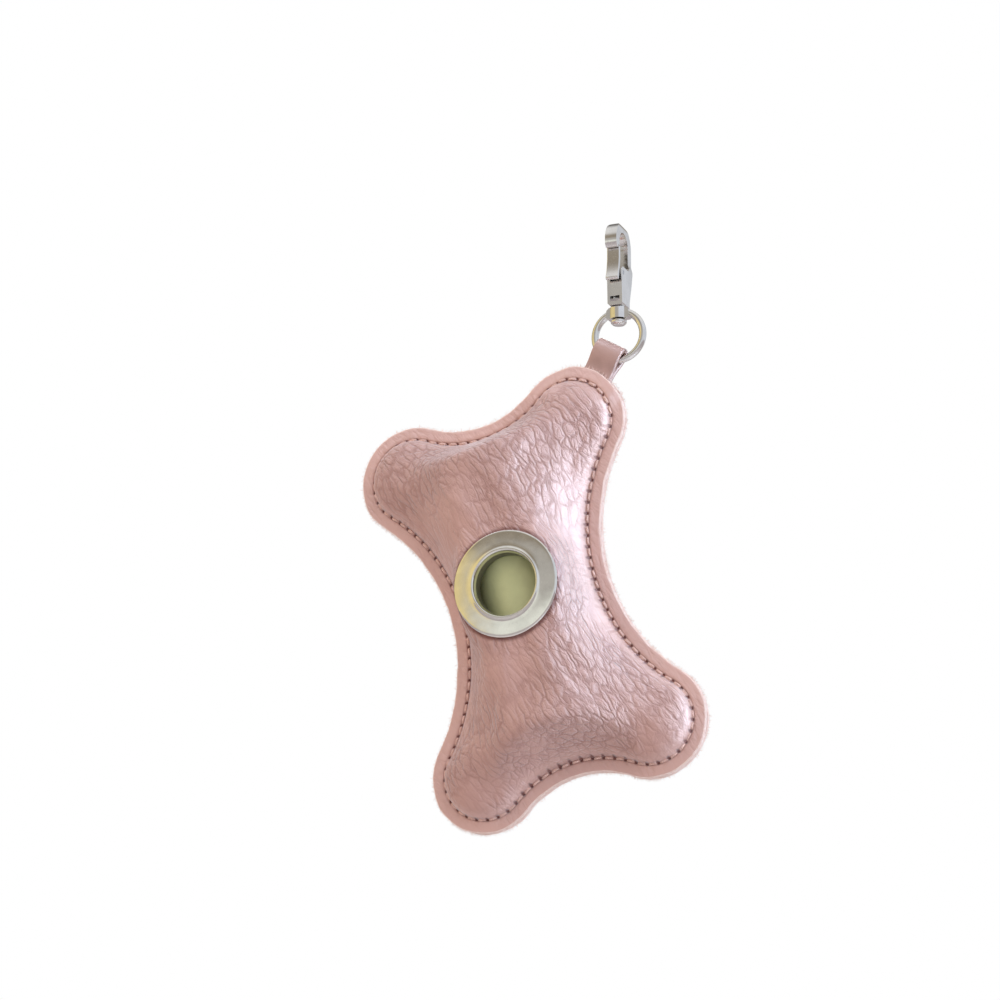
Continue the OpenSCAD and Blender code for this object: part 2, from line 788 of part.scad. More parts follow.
module snap_body() {
    window_low = foot_z + foot_t;
    color(nickel)
        difference() {
            intersection() {
                along_x(body_w + 2)
                    snap_side();
                translate([0, 2 * hook_out, 0])
                    rotate([90, 0, 0])
                        linear_extrude(4 * hook_out)
                            snap_front();
            }
            translate([-slot_w / 2, -2 * hook_out, slot_floor])
                cube([slot_w, 2 * hook_out + toe_y + 0.6, -slot_floor - 4]);
            translate([0, spring_y, spring_low])
                cylinder(h = slot_floor - spring_low + 1, d = spring_d + 0.3);
            translate([-body_w, pivot_y, pivot_z])
                rotate([0, 90, 0])
                    cylinder(h = 2 * body_w, d = pin_d);
            translate([-window_w / 2, -2 * hook_out, window_low])
                cube([window_w, 4 * hook_out, window_h]);
            translate([0, 0, foot_z - 1])
                cylinder(h = foot_t + 2, d = rivet_d);
        }
}

// Gate: bowed plate with a thumb tail, and a web that carries the pin's hole and the toe on the spring
module gate_lever() {
    plate = 1;
    color(nickel)
        difference() {
            union() {
                along_x(gate_w)
                    polygon([
                        [gate_y - plate, -1.5], [gate_y - plate - 0.1, -5], [gate_y - plate - 0.7, pivot_z],
                        [gate_y - plate - 1.5, -10.4], [gate_y - plate - 1.2, -10.9], [gate_y - 1.5, -11],
                        [gate_y - 0.8, pivot_z - 0.3], [gate_y, -5], [gate_y, -1.5]
                    ]);
                along_x(web_w)
                    polygon([
                        [gate_y - 0.6, -6.4], [gate_y + 0.5, -6.7], [pivot_y, -6.8], [0, -7.4], [toe_y, -7.9],
                        [toe_y, toe_z], [0, toe_z - 0.1], [pivot_y, pivot_z - 1.4], [gate_y - 1, pivot_z - 0.9]
                    ]);
            }
            translate([-body_w, pivot_y, pivot_z])
                rotate([0, 90, 0])
                    cylinder(h = 2 * body_w, d = pin_d + 2 * pin_gap);
        }
}

module lever_pin() {
    color(steel)
        translate([-body_w / 2, pivot_y, pivot_z])
            rotate([0, 90, 0])
                cylinder(h = body_w, d = pin_d);
}

// Compression spring under the gate's toe: one unbroken wire
module lever_spring() {
    per_turn = 10;
    sides = 6;
    mean = (spring_d - spring_wire) / 2;
    low = spring_low + spring_wire / 2 + 0.02;
    high = toe_z - 0.1 - spring_wire / 2 - 0.02;
    rings = spring_turns * per_turn;
    pts = [
        for (i = [0:rings], s = [0:sides - 1])
            let (
                t = 360 * i / per_turn,
                a = 360 * s / sides,
                r = mean + spring_wire / 2 * cos(a)
            )
            [r * cos(t), spring_y + r * sin(t), low + (high - low) * i / rings + spring_wire / 2 * sin(a)]
    ];
    walls = [
        for (i = [0:rings - 1], s = [0:sides - 1])
            let (n = (s + 1) % sides, a = i * sides, b = (i + 1) * sides)
            each [[a + s, a + n, b + n], [a + s, b + n, b + s]]
    ];
    first = [for (s = [1:sides - 2]) [0, s + 1, s]];
    last = [for (s = [1:sides - 2]) [rings * sides, rings * sides + s, rings * sides + s + 1]];
    color(steel)
        polyhedron(points = pts, faces = concat(walls, first, last), convexity = 10);
}

front_panel();
back_panel();
tab_root();
tab_loop();
eyelet();
eyelet_washer();
bag_roll();
roll_core();
zipper_tape_left();
zipper_tape_right();
zipper_teeth_left();
zipper_teeth_right();
zipper_top_stops();
zipper_bottom_stop();
zipper_slider();
zipper_puller();
swivel_ring();
swivel_rivet();
snap_body();
gate_lever();
lever_pin();
lever_spring();
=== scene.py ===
"""Bone-shaped leather pouch for a roll of bags, on a swivel snap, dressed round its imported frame."""
import json
import logging
import math
from dataclasses import dataclass
from enum import Enum
from typing import Callable, Sequence

import bmesh
import bpy
import numpy as np
from mathutils import Matrix, Vector, noise

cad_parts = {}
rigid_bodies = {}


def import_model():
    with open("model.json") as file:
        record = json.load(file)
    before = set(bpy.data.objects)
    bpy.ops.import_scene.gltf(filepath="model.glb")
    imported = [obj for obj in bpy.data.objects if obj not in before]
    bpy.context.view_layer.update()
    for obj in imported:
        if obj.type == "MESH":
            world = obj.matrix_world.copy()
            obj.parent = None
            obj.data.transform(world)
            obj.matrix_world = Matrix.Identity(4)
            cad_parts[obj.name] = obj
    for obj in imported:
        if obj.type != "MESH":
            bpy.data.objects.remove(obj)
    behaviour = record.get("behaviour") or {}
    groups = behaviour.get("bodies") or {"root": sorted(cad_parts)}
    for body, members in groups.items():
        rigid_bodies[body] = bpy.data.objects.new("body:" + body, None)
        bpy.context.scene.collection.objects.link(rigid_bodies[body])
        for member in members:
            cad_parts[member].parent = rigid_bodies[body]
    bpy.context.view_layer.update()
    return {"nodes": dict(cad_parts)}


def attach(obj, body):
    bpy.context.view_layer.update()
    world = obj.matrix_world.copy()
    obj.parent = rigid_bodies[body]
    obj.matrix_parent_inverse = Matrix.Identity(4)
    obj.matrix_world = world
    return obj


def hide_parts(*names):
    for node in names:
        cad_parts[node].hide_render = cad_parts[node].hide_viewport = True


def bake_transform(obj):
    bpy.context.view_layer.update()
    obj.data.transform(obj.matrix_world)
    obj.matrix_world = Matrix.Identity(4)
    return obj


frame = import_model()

MM = 0.001
log = logging.getLogger("pouch")

RGB = tuple[float, float, float]


class Side(Enum):
    """Which face of the pouch a piece belongs to."""

    FRONT = -1
    BACK = 1


def smooth(t: np.ndarray | float) -> np.ndarray:
    """A smooth step from 0 to 1."""
    u = np.clip(t, 0.0, 1.0)
    return u * u * (3 - 2 * u)


def linear(red: int, green: int, blue: int) -> RGB:
    """Turns an 8-bit display colour into the linear colour a shader takes.

    Args:
        red: red, from 0 to 255.
        green: green, from 0 to 255.
        blue: blue, from 0 to 255.

    Returns:
        The linear colour, from 0 to 1.
    """

    def one(value: int) -> float:
        """One channel."""
        c = value / 255
        return c / 12.92 if c <= 0.04045 else ((c + 0.055) / 1.055) ** 2.4

    return one(red), one(green), one(blue)


def darker(colour: RGB, share: float) -> RGB:
    """A colour at a share of its strength."""
    return tuple(c * share for c in colour)


# Shape of the pouch


@dataclass(frozen=True)
class BoneShape:
    """Sizes of the pouch in millimetres, in its own upright frame, and the heights of its leather.

    The outline is tangent arcs: a lobe at each corner, with a hollow curve at each side and each end. The
    leather is a drum round the roll, drapes beside it, and falls past its ends to the height of the lobes.
    """

    lobe_x: float = 23.0
    lobe_z: float = 41.5
    lobe_r: float = 14.7
    side_r: float = 48.0
    end_r: float = 26.0
    leather_t: float = 1.4
    seam_w: float = 3.8
    stitch_in: float = 3.5
    stitch_pitch: float = 2.8
    lobe_h: float = 5.5
    puff_w: float = 9.5
    drum_w: float = 1.3
    drum_flare: float = 3.0
    drum_power: float = 2.3
    drape_w: float = 30.0
    drape_from: float = 12.0
    drape_blend: float = 24.0
    fall_past: float = 2.0
    fall_blend: float = 22.0
    roll_len: float = 60.0
    hole_r: float = 8.7
    eyelet_r: float = 14.0
    flat_rim: float = 13.6
    flat_blend: float = 6.4
    flat_edge: float = 3.0
    front_h: float = 17.2
    back_h: float = 17.65
    window_half: float = 34.0
    window_r: float = 4.5
    centre: tuple[float, float] = (-25.0726, -93.3392)
    lean: float = math.radians(14.5)
    strap_t: float = 1.3
    strap_w: float = 8.0
    strap_play: float = 0.05
    strap_rim: float = 2.8
    strap_blend: float = 3.0
    strap_angle: float = math.radians(45.0)
    ring_z: float = -25.0
    strap_lean: float = math.radians(30.5)

    @property
    def lobe_turns(self) -> tuple[float, float]:
        """Directions from the lobe's centre to the two ends of its arc."""
        return (math.atan2(-self.lobe_z, self.side_c - self.lobe_x),
                math.atan2(self.end_c - self.lobe_z, -self.lobe_x))

    @property
    def side_c(self) -> float:
        """Centre of the hollow curve at the waist, along X."""
        return self.lobe_x + math.sqrt((self.side_r + self.lobe_r) ** 2 - self.lobe_z**2)

    @property
    def end_c(self) -> float:
        """Centre of the hollow curve at the end, along Z."""
        return self.lobe_z + math.sqrt((self.end_r + self.lobe_r) ** 2 - self.lobe_x**2)

    def place(self, points: np.ndarray) -> np.ndarray:
        """Moves points from the pouch's own frame, in mm, to the row frame, in metres.

        Args:
            points: points of x, y and z, in mm.

        Returns:
            The points in the row frame.
        """
        c, s = math.cos(self.lean), math.sin(self.lean)
        x, y, z = points[..., 0], points[..., 1], points[..., 2]
        return np.stack([self.centre[0] + x * c - z * s, y, self.centre[1] + x * s + z * c], -1) * MM

    def place_strap(self, points: np.ndarray) -> np.ndarray:
        """Moves points from the strap's frame, in mm, to the row frame, in metres.

        Args:
            points: points of x, y and z, in mm.

        Returns:
            The points in the row frame.
        """
        c, s = math.cos(self.strap_lean), math.sin(self.strap_lean)
        x, y, z = points[..., 0], points[..., 1], points[..., 2]
        return np.stack([x * c + z * s, y, self.ring_z - x * s + z * c], -1) * MM

    def outline(self, steps: tuple[int, int, int], inset: float) -> np.ndarray:
        """One quarter of the bone's outline, from the waist to the end.

        Args:
            steps: counts along the waist curve, the lobe and the end curve.
            inset: distance inside the raw edge.

        Returns:
            An array of x, z points, one more than the sum of the counts.
        """
        lobe_from, lobe_to = self.lobe_turns
        side = math.atan2(self.lobe_z, self.side_c - self.lobe_x)
        end = math.atan2(self.lobe_x, self.end_c - self.lobe_z)
        points = []
        for k in range(steps[0]):
            t = side * k / steps[0]
            r = self.side_r + inset
            points.append((self.side_c - r * math.cos(t), r * math.sin(t)))
        for k in range(steps[1]):
            t = lobe_from + (lobe_to - lobe_from) * k / steps[1]
            r = self.lobe_r - inset
            points.append((self.lobe_x + r * math.cos(t), self.lobe_z + r * math.sin(t)))
        for k in range(steps[2] + 1):
            t = end * (1 - k / steps[2])
            r = self.end_r + inset
            points.append((r * math.sin(t), self.end_c - r * math.cos(t)))
        return np.array(points)

    @staticmethod
    def whole(quarter: np.ndarray) -> np.ndarray:
        """Mirrors a quarter of a loop into the whole loop, going round once.

        Args:
            quarter: x, z points from one axis to the other.

        Returns:
            The x, z points of the loop.
        """
        flip_x, flip_z = np.array([-1, 1]), np.array([1, -1])
        second = (quarter * flip_x)[::-1]
        return np.concatenate([quarter[:-1], second[:-1], -quarter[:-1], (quarter * flip_z)[::-1][:-1]])

    def edge_dist(self, x: np.ndarray, z: np.ndarray) -> np.ndarray:
        """Distance from the raw edge to points inside the bone.

        Args:
            x: places along the width, in mm.
            z: places along the height, in mm.

        Returns:
            The distance of each place, in mm.
        """
        ax, az = np.abs(x), np.abs(z)
        turn = np.arctan2(az - self.lobe_z, ax - self.lobe_x)
        lobe_from, lobe_to = self.lobe_turns
        side = np.hypot(ax - self.side_c, az) - self.side_r
        end = np.hypot(ax, az - self.end_c) - self.end_r
        lobe = self.lobe_r - np.hypot(ax - self.lobe_x, az - self.lobe_z)
        return np.where((turn > lobe_from) & (turn < lobe_to), lobe, np.minimum(side, end))

    def rise(self, x: np.ndarray, z: np.ndarray, side: Side) -> np.ndarray:
        """Height of the leather's underside above the middle plane.

        At the waist it goes round the roll as round a drum, and past the roll it drapes down to the lobes.

        Args:
            x: places along the width, in mm.
            z: places along the height, in mm.
            side: the front or the back.

        Returns:
            The height at each place, in mm.
        """
        top = (self.front_h if side is Side.FRONT else self.back_h) - self.leather_t
        crown = 0.0 if side is Side.FRONT else self.window_r
        e = self.edge_dist(x, z) - self.seam_w
        az = np.abs(z)
        out = np.maximum(0, np.abs(x) - crown)
        waist = self.side_c - self.side_r
        flare = self.drum_flare * np.minimum(1, (az / self.roll_len * 2) ** 2)
        half = waist - self.seam_w + self.drum_w + flare - crown
        drum = np.sqrt(1 - np.minimum(1, out / half) ** self.drum_power)
        drape = np.cos(math.pi / 2 * np.minimum(1, out / (self.drape_w - crown)))
        fall = 1 - smooth((az - self.window_half - self.fall_past) / self.fall_blend)
        t = smooth((az - self.drape_from) / self.drape_blend)
        over = top * fall * (drum * (1 - t) + drape * t)
        k = self.lobe_h
        high = np.maximum(over, k) + np.maximum(k - np.abs(over - k), 0) ** 2 / (4 * k)
        body = high * np.sqrt(1 - (1 - np.clip(e / self.puff_w, 0, 1)) ** 2)
        body = np.minimum(body, top)
        if side is Side.BACK:
            return body
        flat = 1 - smooth((np.hypot(x, z) - self.flat_rim) / self.flat_blend)
        flat = flat * np.clip(e / self.flat_edge, 0, 1)
        return body * (1 - flat) + top * flat

    def strap_lift(self, x: np.ndarray, z: np.ndarray) -> np.ndarray:
        """Lift of the leather where the strap lies between the panels.

        Args:
            x: places along the width, in mm.
            z: places along the height, in mm.

        Returns:
            The lift at each place, in mm.
        """
        c, s = math.cos(self.strap_angle), math.sin(self.strap_angle)
        along = (x - self.lobe_x) * s + (z - self.lobe_z) * c
        across = (x - self.lobe_x) * c - (z - self.lobe_z) * s
        past = np.abs(across) - self.strap_w / 2 - self.strap_rim
        lift = (self.strap_t + self.strap_play) * (1 - smooth(past / self.strap_blend))
        return np.where(along < 0, 0.0, lift)


BONE = BoneShape()


# Shader helpers


class Shade:
    """A small builder for node trees."""

    def __init__(self, tree: bpy.types.NodeTree) -> None:
        """Starts on an empty tree."""
        self.tree = tree
        tree.nodes.clear()

    def add(self, kind: str, inputs: dict | None = None, **props: object) -> bpy.types.Node:
        """Adds a node.

        Args:
            kind: the node's type.
            inputs: values or sockets by input name or index.
            props: the node's properties.

        Returns:
            The new node.
        """
        node = self.tree.nodes.new(kind)
        for key, value in props.items():
            setattr(node, key, value)
        for key, value in (inputs or {}).items():
            socket = node.inputs[key]
            if isinstance(value, bpy.types.NodeSocket):
                self.tree.links.new(value, socket)
            else:
                socket.default_value = value
        return node

    def math(self, operation: str, *values: object) -> bpy.types.NodeSocket:
        """A Math node's result."""
        return self.add("ShaderNodeMath", dict(enumerate(values)), operation=operation).outputs[0]

    def vector(self, operation: str, inputs: dict) -> bpy.types.Node:
        """A Vector Math node."""
        return self.add("ShaderNodeVectorMath", inputs, operation=operation)

    def mix(self, share: object, a: object, b: object) -> bpy.types.NodeSocket:
        """A mix of the colours a and b, with the share of b.

        Args:
            share: the share of b, a number or a socket.
            a: a colour or a socket.
            b: a colour or a socket.

        Returns:
            The mixed colour.
        """
        node = self.add("ShaderNodeMix", data_type="RGBA")
        for index, value in ((0, share), (6, a), (7, b)):
            if isinstance(value, bpy.types.NodeSocket):
                self.tree.links.new(value, node.inputs[index])
            else:
                node.inputs[index].default_value = (*value, 1.0) if isinstance(value, tuple) else value
        return node.outputs[2]

    def remap(self, value: object, low: float, high: float, to_low: float = 0.0,
              to_high: float = 1.0) -> bpy.types.NodeSocket:
        """A Map Range node's result, with a smooth step and clamped.

        Args:
            value: the socket to map.
            low: the value that gives to_low.
            high: the value that gives to_high.
            to_low: the result at low.
            to_high: the result at high.

        Returns:
            The mapped value.
        """
        node = self.add("ShaderNodeMapRange", {0: value, 1: low, 2: high, 3: to_low, 4: to_high},
                        interpolation_type="SMOOTHSTEP", clamp=True)
        return node.outputs[0]

    def noise(self, vector: object, scale: float, detail: float = 3.0,
              rough: float = 0.5) -> bpy.types.NodeSocket:
        """A noise texture's value.

        Args:
            vector: the coordinates.
            scale: waves per metre.
            detail: finer layers.
            rough: how strong the finer layers are.

        Returns:
            The value, from 0 to 1.
        """
        node = self.add("ShaderNodeTexNoise",
                        {"Vector": vector, "Scale": scale, "Detail": detail, "Roughness": rough})
        return node.outputs["Fac"]

    def bump(self, height: object, strength: float, distance: float) -> bpy.types.NodeSocket:
        """A Bump node's normal, with the distance in metres."""
        inputs = {"Height": height, "Strength": strength, "Distance": distance}
        return self.add("ShaderNodeBump", inputs).outputs[0]

    def cells(self, vector: object, scale: object, feature: str) -> bpy.types.NodeSocket:
        """A Voronoi texture's distance."""
        node = self.add("ShaderNodeTexVoronoi", {"Vector": vector, "Scale": scale}, feature=feature)
        return node.outputs["Distance"]

    def bands(self, vector: object, scale: float, wobble: float, way: str) -> bpy.types.NodeSocket:
        """A wave texture's bands across one direction.

        Args:
            vector: the coordinates.
            scale: how close the bands are.
            wobble: how much they wander.
            way: the direction across them.

        Returns:
            The value, from 0 to 1.
        """
        node = self.add("ShaderNodeTexWave",
                        {"Vector": vector, "Scale": scale, "Distortion": wobble, "Detail": 1.0},
                        wave_type="BANDS", bands_direction=way)
        return node.outputs["Fac"]

    def group(self, tree: bpy.types.NodeTree, coords: object, scale: float | None = None) -> bpy.types.Node:
        """Places a shader group on the coordinates, at a scale or at the group's own.

        Args:
            tree: the group.
            coords: the coordinates.
            scale: its Scale input, or None for the group's own.

        Returns:
            The group's node.
        """
        node = self.add("ShaderNodeGroup", node_tree=tree)
        self.tree.links.new(coords, node.inputs["Vector"])
        if scale is not None:
            node.inputs["Scale"].default_value = scale
        return node


def new_group(name: str, ins: dict[str, object],
              outs: Sequence[str]) -> tuple[bpy.types.NodeTree, Shade, dict[str, bpy.types.NodeSocket]]:
    """Starts a shader node group.

    Args:
        name: the group's name.
        ins: input names and their default values; None makes a vector.
        outs: names of the float outputs.

    Returns:
        The group, its builder and a dict of its input sockets.
    """
    tree = bpy.data.node_groups.new(name, "ShaderNodeTree")
    shade = Shade(tree)
    for key, value in ins.items():
        kind = "NodeSocketVector" if value is None else "NodeSocketFloat"
        socket = tree.interface.new_socket(key, in_out="INPUT", socket_type=kind)
        if value is not None:
            socket.default_value = value
    for key in outs:
        tree.interface.new_socket(key, in_out="OUTPUT", socket_type="NodeSocketFloat")
    entry = tree.nodes.new("NodeGroupInput")
    return tree, shade, {s.name: s for s in entry.outputs if s.name}


@dataclass(frozen=True)
class PebbleGrain:
    """Leather grain: domed pebbles between fine creases and broad folds that run down one diagonal."""

    scale: float = 700.0
    stretch: float = 0.25
    slope: float = -1.0
    sway_scale: float = 45.0
    sway_reach: float = 0.007
    warp_scale: float = 420.0
    warp_reach: float = 0.0012
    cross_size: float = 0.8
    broad_size: float = 0.52
    groove_share: float = 0.2
    dome_share: float = 0.14
    cross_share: float = 0.1
    fold_share: float = 0.56
    fine_dark: float = 0.4

    @staticmethod
    def shift(s: Shade, vector: object, scale: float, detail: float, reach: float) -> bpy.types.NodeSocket:
        """A random shift of the coordinates, of at most half the reach, in metres.

        Args:
            s: the group's builder.
            vector: the coordinates.
            scale: waves per metre.
            detail: finer layers.
            reach: twice the largest shift, in metres.

        Returns:
            The shift.
        """
        texture = s.add("ShaderNodeTexNoise", {"Vector": vector, "Scale": scale, "Detail": detail})
        centred = s.vector("SUBTRACT", {0: texture.outputs["Color"], 1: (0.5, 0.5, 0.5)})
        return s.vector("SCALE", {0: centred.outputs[0], "Scale": reach}).outputs[0]

    def make(self) -> bpy.types.NodeTree:
        """Builds the group.

        Returns:
            The group, with the grain's height and how much shade to paint into its creases.
        """
        tree, s, i = new_group("pebble_grain", {"Vector": None, "Scale": self.scale, "Stretch": self.stretch,
                                                "Slope": self.slope}, ("Height", "Crease"))
        turned = s.add("ShaderNodeVectorRotate", {"Vector": i["Vector"], "Angle": i["Slope"]},
                       rotation_type="Y_AXIS")
        sway = self.shift(s, i["Vector"], self.sway_scale, 1.0, self.sway_reach)
        bent = s.vector("ADD", {0: turned.outputs[0], 1: sway})
        warp = self.shift(s, i["Vector"], self.warp_scale, 2.0, self.warp_reach)
        moved = s.vector("ADD", {0: bent.outputs[0], 1: warp}).outputs[0]
        stretch = s.add("ShaderNodeCombineXYZ", {0: i["Stretch"], 1: 1.0, 2: 1.0})
        long = s.vector("MULTIPLY", {0: moved, 1: stretch.outputs[0]}).outputs[0]
        edges = s.cells(long, i["Scale"], "DISTANCE_TO_EDGE")
        domes = s.cells(long, i["Scale"], "F1")
        cross = s.cells(moved, s.math("MULTIPLY", i["Scale"], self.cross_size), "DISTANCE_TO_EDGE")
        broad = s.cells(long, s.math("MULTIPLY", i["Scale"], self.broad_size), "DISTANCE_TO_EDGE")
        depth = s.remap(s.noise(i["Vector"], 60.0), 0.34, 0.56, 0.3, 1.0)
        high = 0.0
        for share, part in ((self.groove_share, s.remap(edges, 0.0, 0.15)),
                            (self.dome_share, s.remap(domes, 0.0, 0.8, 1.0, 0.0)),
                            (self.cross_share, s.remap(cross, 0.0, 0.09)),
                            (self.fold_share, s.remap(broad, 0.0, 0.22))):
            high = s.math("ADD", high, s.math("MULTIPLY", part, share))
        low = s.math("SUBTRACT", 1.0, s.math("MULTIPLY", s.math("SUBTRACT", 1.0, high), depth))
        # Crease is how much shade to paint into the fine creases and the broad folds.
        fine = s.math("MULTIPLY", s.remap(edges, 0.0, 0.11, 1.0, 0.0), self.fine_dark)
        deep = s.remap(broad, 0.0, 0.16, 1.0, 0.0)
        crease = s.math("MULTIPLY", s.math("MAXIMUM", fine, deep), depth)
        s.add("NodeGroupOutput", {"Height": low, "Crease": crease})
        return tree


def wear_group() -> bpy.types.NodeTree:
    """Soft blotches and specks that vary a surface's colour and gloss.

    Returns:
        The group.
    """
    tree, s, i = new_group("wear", {"Vector": None, "Scale": 60.0}, ("Blotch", "Speck"))
    wide = s.add("ShaderNodeTexNoise", {"Vector": i["Vector"], "Scale": i["Scale"], "Detail": 4.0})
    small = s.math("MULTIPLY", i["Scale"], 14.0)
    tight = s.add("ShaderNodeTexNoise", {"Vector": i["Vector"], "Scale": small, "Detail": 2.0})
    s.add("NodeGroupOutput", {"Blotch": s.remap(wide.outputs["Fac"], 0.35, 0.65),
                              "Speck": s.remap(tight.outputs["Fac"], 0.58, 0.72)})
    return tree


class Groups:
    """The leather's grain and the wear that the finishes share, each built once as a shader group."""

    def __init__(self) -> None:
        """Builds the groups."""
        self.pebble = PebbleGrain().make()
        self.wear = wear_group()


GROUPS = Groups()


def begin(name: str) -> tuple[bpy.types.Material, Shade, bpy.types.Node, bpy.types.NodeSocket]:
    """Starts a material with a Principled shader.

    Args:
        name: the material's name.

    Returns:
        The material, its builder, the shader node and the object coordinates.
    """
    material = bpy.data.materials.new(name)
    material.use_nodes = True
    shade = Shade(material.node_tree)
    bsdf = shade.add("ShaderNodeBsdfPrincipled")
    shade.add("ShaderNodeOutputMaterial", {"Surface": bsdf.outputs[0]})
    coords = shade.add("ShaderNodeTexCoord").outputs["Object"]
    return material, shade, bsdf, coords


def wire(shade: Shade, bsdf: bpy.types.Node, **sockets: object) -> None:
    """Sets the shader's inputs by name, where an underscore stands for a space.

    Args:
        shade: the material's builder.
        bsdf: the shader node.
        sockets: a value, a colour or a socket for each input.
    """
    for key, value in sockets.items():
        socket = bsdf.inputs[key.replace("_", " ")]
        if isinstance(value, bpy.types.NodeSocket):
            shade.tree.links.new(value, socket)
        else:
            socket.default_value = (*value, 1.0) if isinstance(value, tuple) and len(value) == 3 else value


# Finishes


@dataclass(frozen=True)
class PebbledLeather:
    """Dusty-pink leather: a pebbled face, smoother outside the stitches, with needle holes along the seam; it
    has painted shade in its creases, needle holes and stitch groove, and a painted shadow round the eyelet.

    The UV map named seam gives the way along the seam and the way in from the raw edge. Lengths are in mm,
    shares run from 0 to 1, and heights are parts of the bump's distance.
    """

    name: str = "pebbled_leather"
    face: RGB = linear(194, 152, 139)
    # crease is a painted shade colour for the grain's creases and the stitches' groove.
    crease: RGB = linear(142, 98, 86)
    margin: RGB = linear(226, 188, 174)
    # hole is a painted shade colour for the needle holes, also used for the painted shadow round the eyelet.
    hole: RGB = linear(112, 56, 42)
    pitch: float = BONE.stitch_pitch
    seam: float = BONE.stitch_in
    eyelet: float = BONE.eyelet_r
    grain: float = 960.0
    rough: float = 0.67
    margin_share: float = 0.45
    crease_share: float = 0.42
    groove_share: float = 0.16
    hole_share: float = 0.9
    eyelet_shadow_share: float = 0.8
    hole_deep: float = 0.4
    groove_deep: float = 0.5
    pore_high: float = 0.08
    tuck_high: float = 1.5

    def eyelet_shadow(self, s: Shade, coords: bpy.types.NodeSocket) -> bpy.types.NodeSocket:
        """How far a point of the front is in the painted shadow round the eyelet's edge.

        Args:
            s: the material's builder.
            coords: the object coordinates.

        Returns:
            The share, from 0 to 1.
        """
        middle = tuple(float(v) for v in BONE.place(np.zeros(3)))
        off = s.vector("SUBTRACT", {0: coords, 1: middle})
        flat = s.vector("MULTIPLY", {0: off.outputs[0], 1: (1.0, 0.0, 1.0)})
        radius = s.vector("LENGTH", {0: flat.outputs[0]}).outputs["Value"]
        front = s.math("LESS_THAN", s.add("ShaderNodeSeparateXYZ", {0: coords}).outputs[1], -0.01)
        edge = self.eyelet * MM
        return s.math("MULTIPLY", s.remap(radius, edge + 0.2 * MM, edge + 1.3 * MM, 1.0, 0.0), front)

    def seam_marks(self, s: Shade, along: bpy.types.NodeSocket,
                   inward: bpy.types.NodeSocket) -> tuple[bpy.types.NodeSocket, bpy.types.NodeSocket]:
        """The needle holes along the seam, and the groove that the thread pulls between them.

        Args:
            s: the material's builder.
            along: way along the seam, in mm.
            inward: way in from the raw edge, in mm.

        Returns:
            The holes and the groove, as shares from 0 to 1.
        """
        step = s.math("FRACT", s.math("DIVIDE", along, self.pitch))
        gap = s.math("MULTIPLY", s.math("ABSOLUTE", s.math("SUBTRACT", step, 0.5)), self.pitch)
        off = s.math("SUBTRACT", inward, self.seam)
        reach = s.math("SQRT", s.math("ADD", s.math("MULTIPLY", gap, gap), s.math("MULTIPLY", off, off)))
        hole = s.remap(reach, 0.28, 0.66, 1.0, 0.0)
        groove = s.remap(s.math("ABSOLUTE", off), 0.0, 0.8, 1.0, 0.0)
        return hole, groove

    def tucks(self, s: Shade, along: bpy.types.NodeSocket,
              inward: bpy.types.NodeSocket) -> bpy.types.NodeSocket:
        """Short tucks across the seam, close to the stitches on both sides.

        Args:
            s: the material's builder.
            along: way along the seam, in mm.
            inward: way in from the raw edge, in mm.

        Returns:
            Their height.
        """
        pull = s.add("ShaderNodeCombineXYZ", {0: s.math("MULTIPLY", along, 0.6),
                                              1: s.math("MULTIPLY", inward, 0.15)})
        close = s.math("MULTIPLY", s.remap(inward, self.seam - 2.6, self.seam - 0.4),
                       s.remap(inward, self.seam + 0.4, self.seam + 3.4, 1.0, 0.0))
        return s.math("MULTIPLY", s.noise(pull.outputs[0], 1.0, 2.0), close)

    def make(self) -> bpy.types.Material:
        """Builds the material.

        Returns:
            The material.
        """
        material, s, bsdf, coords = begin(self.name)
        uv = s.add("ShaderNodeUVMap", uv_map="seam").outputs[0]
        split = s.add("ShaderNodeSeparateXYZ", {0: uv})
        along = s.math("MULTIPLY", split.outputs[0], 1 / MM)
        inward = s.math("MULTIPLY", split.outputs[1], 1 / MM)
        grain = s.group(GROUPS.pebble, coords, self.grain)
        wear = s.group(GROUPS.wear, coords)
        hole, groove = self.seam_marks(s, along, inward)
        inside = s.remap(inward, self.seam - 0.4, self.seam + 2.6)
        # Painted shade in the grain's creases inside the stitches; it also makes them rougher.
        crease_shade = s.math("MULTIPLY", grain.outputs["Crease"], inside)
        base = s.mix(wear.outputs["Blotch"], self.face, darker(self.face, 0.95))
        # Painted shade goes into the creases, the stitches' groove and the needle holes, and a painted shadow
        # goes round the eyelet.
        for mask, share, colour in ((s.math("SUBTRACT", 1.0, inside), self.margin_share, self.margin),
                                    (crease_shade, self.crease_share, self.crease),
                                    (groove, self.groove_share, self.crease),
                                    (hole, self.hole_share, self.hole),
                                    (self.eyelet_shadow(s, coords), self.eyelet_shadow_share, self.hole)):
            base = s.mix(s.math("MULTIPLY", mask, share), base, colour)
        firm = s.remap(inward, self.seam, self.seam + 3.0, 0.42, 1.0)
        level = s.math("MULTIPLY", grain.outputs["Height"], firm)
        for part, high in ((hole, -self.hole_deep), (groove, -self.groove_deep),
                           (s.noise(coords, 5200.0, 2.0), self.pore_high),
                           (self.tucks(s, along, inward), self.tuck_high)):
            level = s.math("ADD", level, s.math("MULTIPLY", part, high))
        normal = s.bump(level, 0.75, 0.00052)
        rough = s.math("ADD", self.rough - 0.06, s.math("MULTIPLY", crease_shade, 0.22))
        rough = s.math("ADD", rough, s.math("MULTIPLY", wear.outputs["Blotch"], 0.08))
        wire(s, bsdf, Base_Color=base, Roughness=rough, Normal=normal, Specular_IOR_Level=0.6,
             Coat_Weight=0.06, Coat_Roughness=0.55, Sheen_Weight=0.6, Sheen_Roughness=0.42,
             Sheen_Tint=(0.92, 0.94, 1.0))
        return material


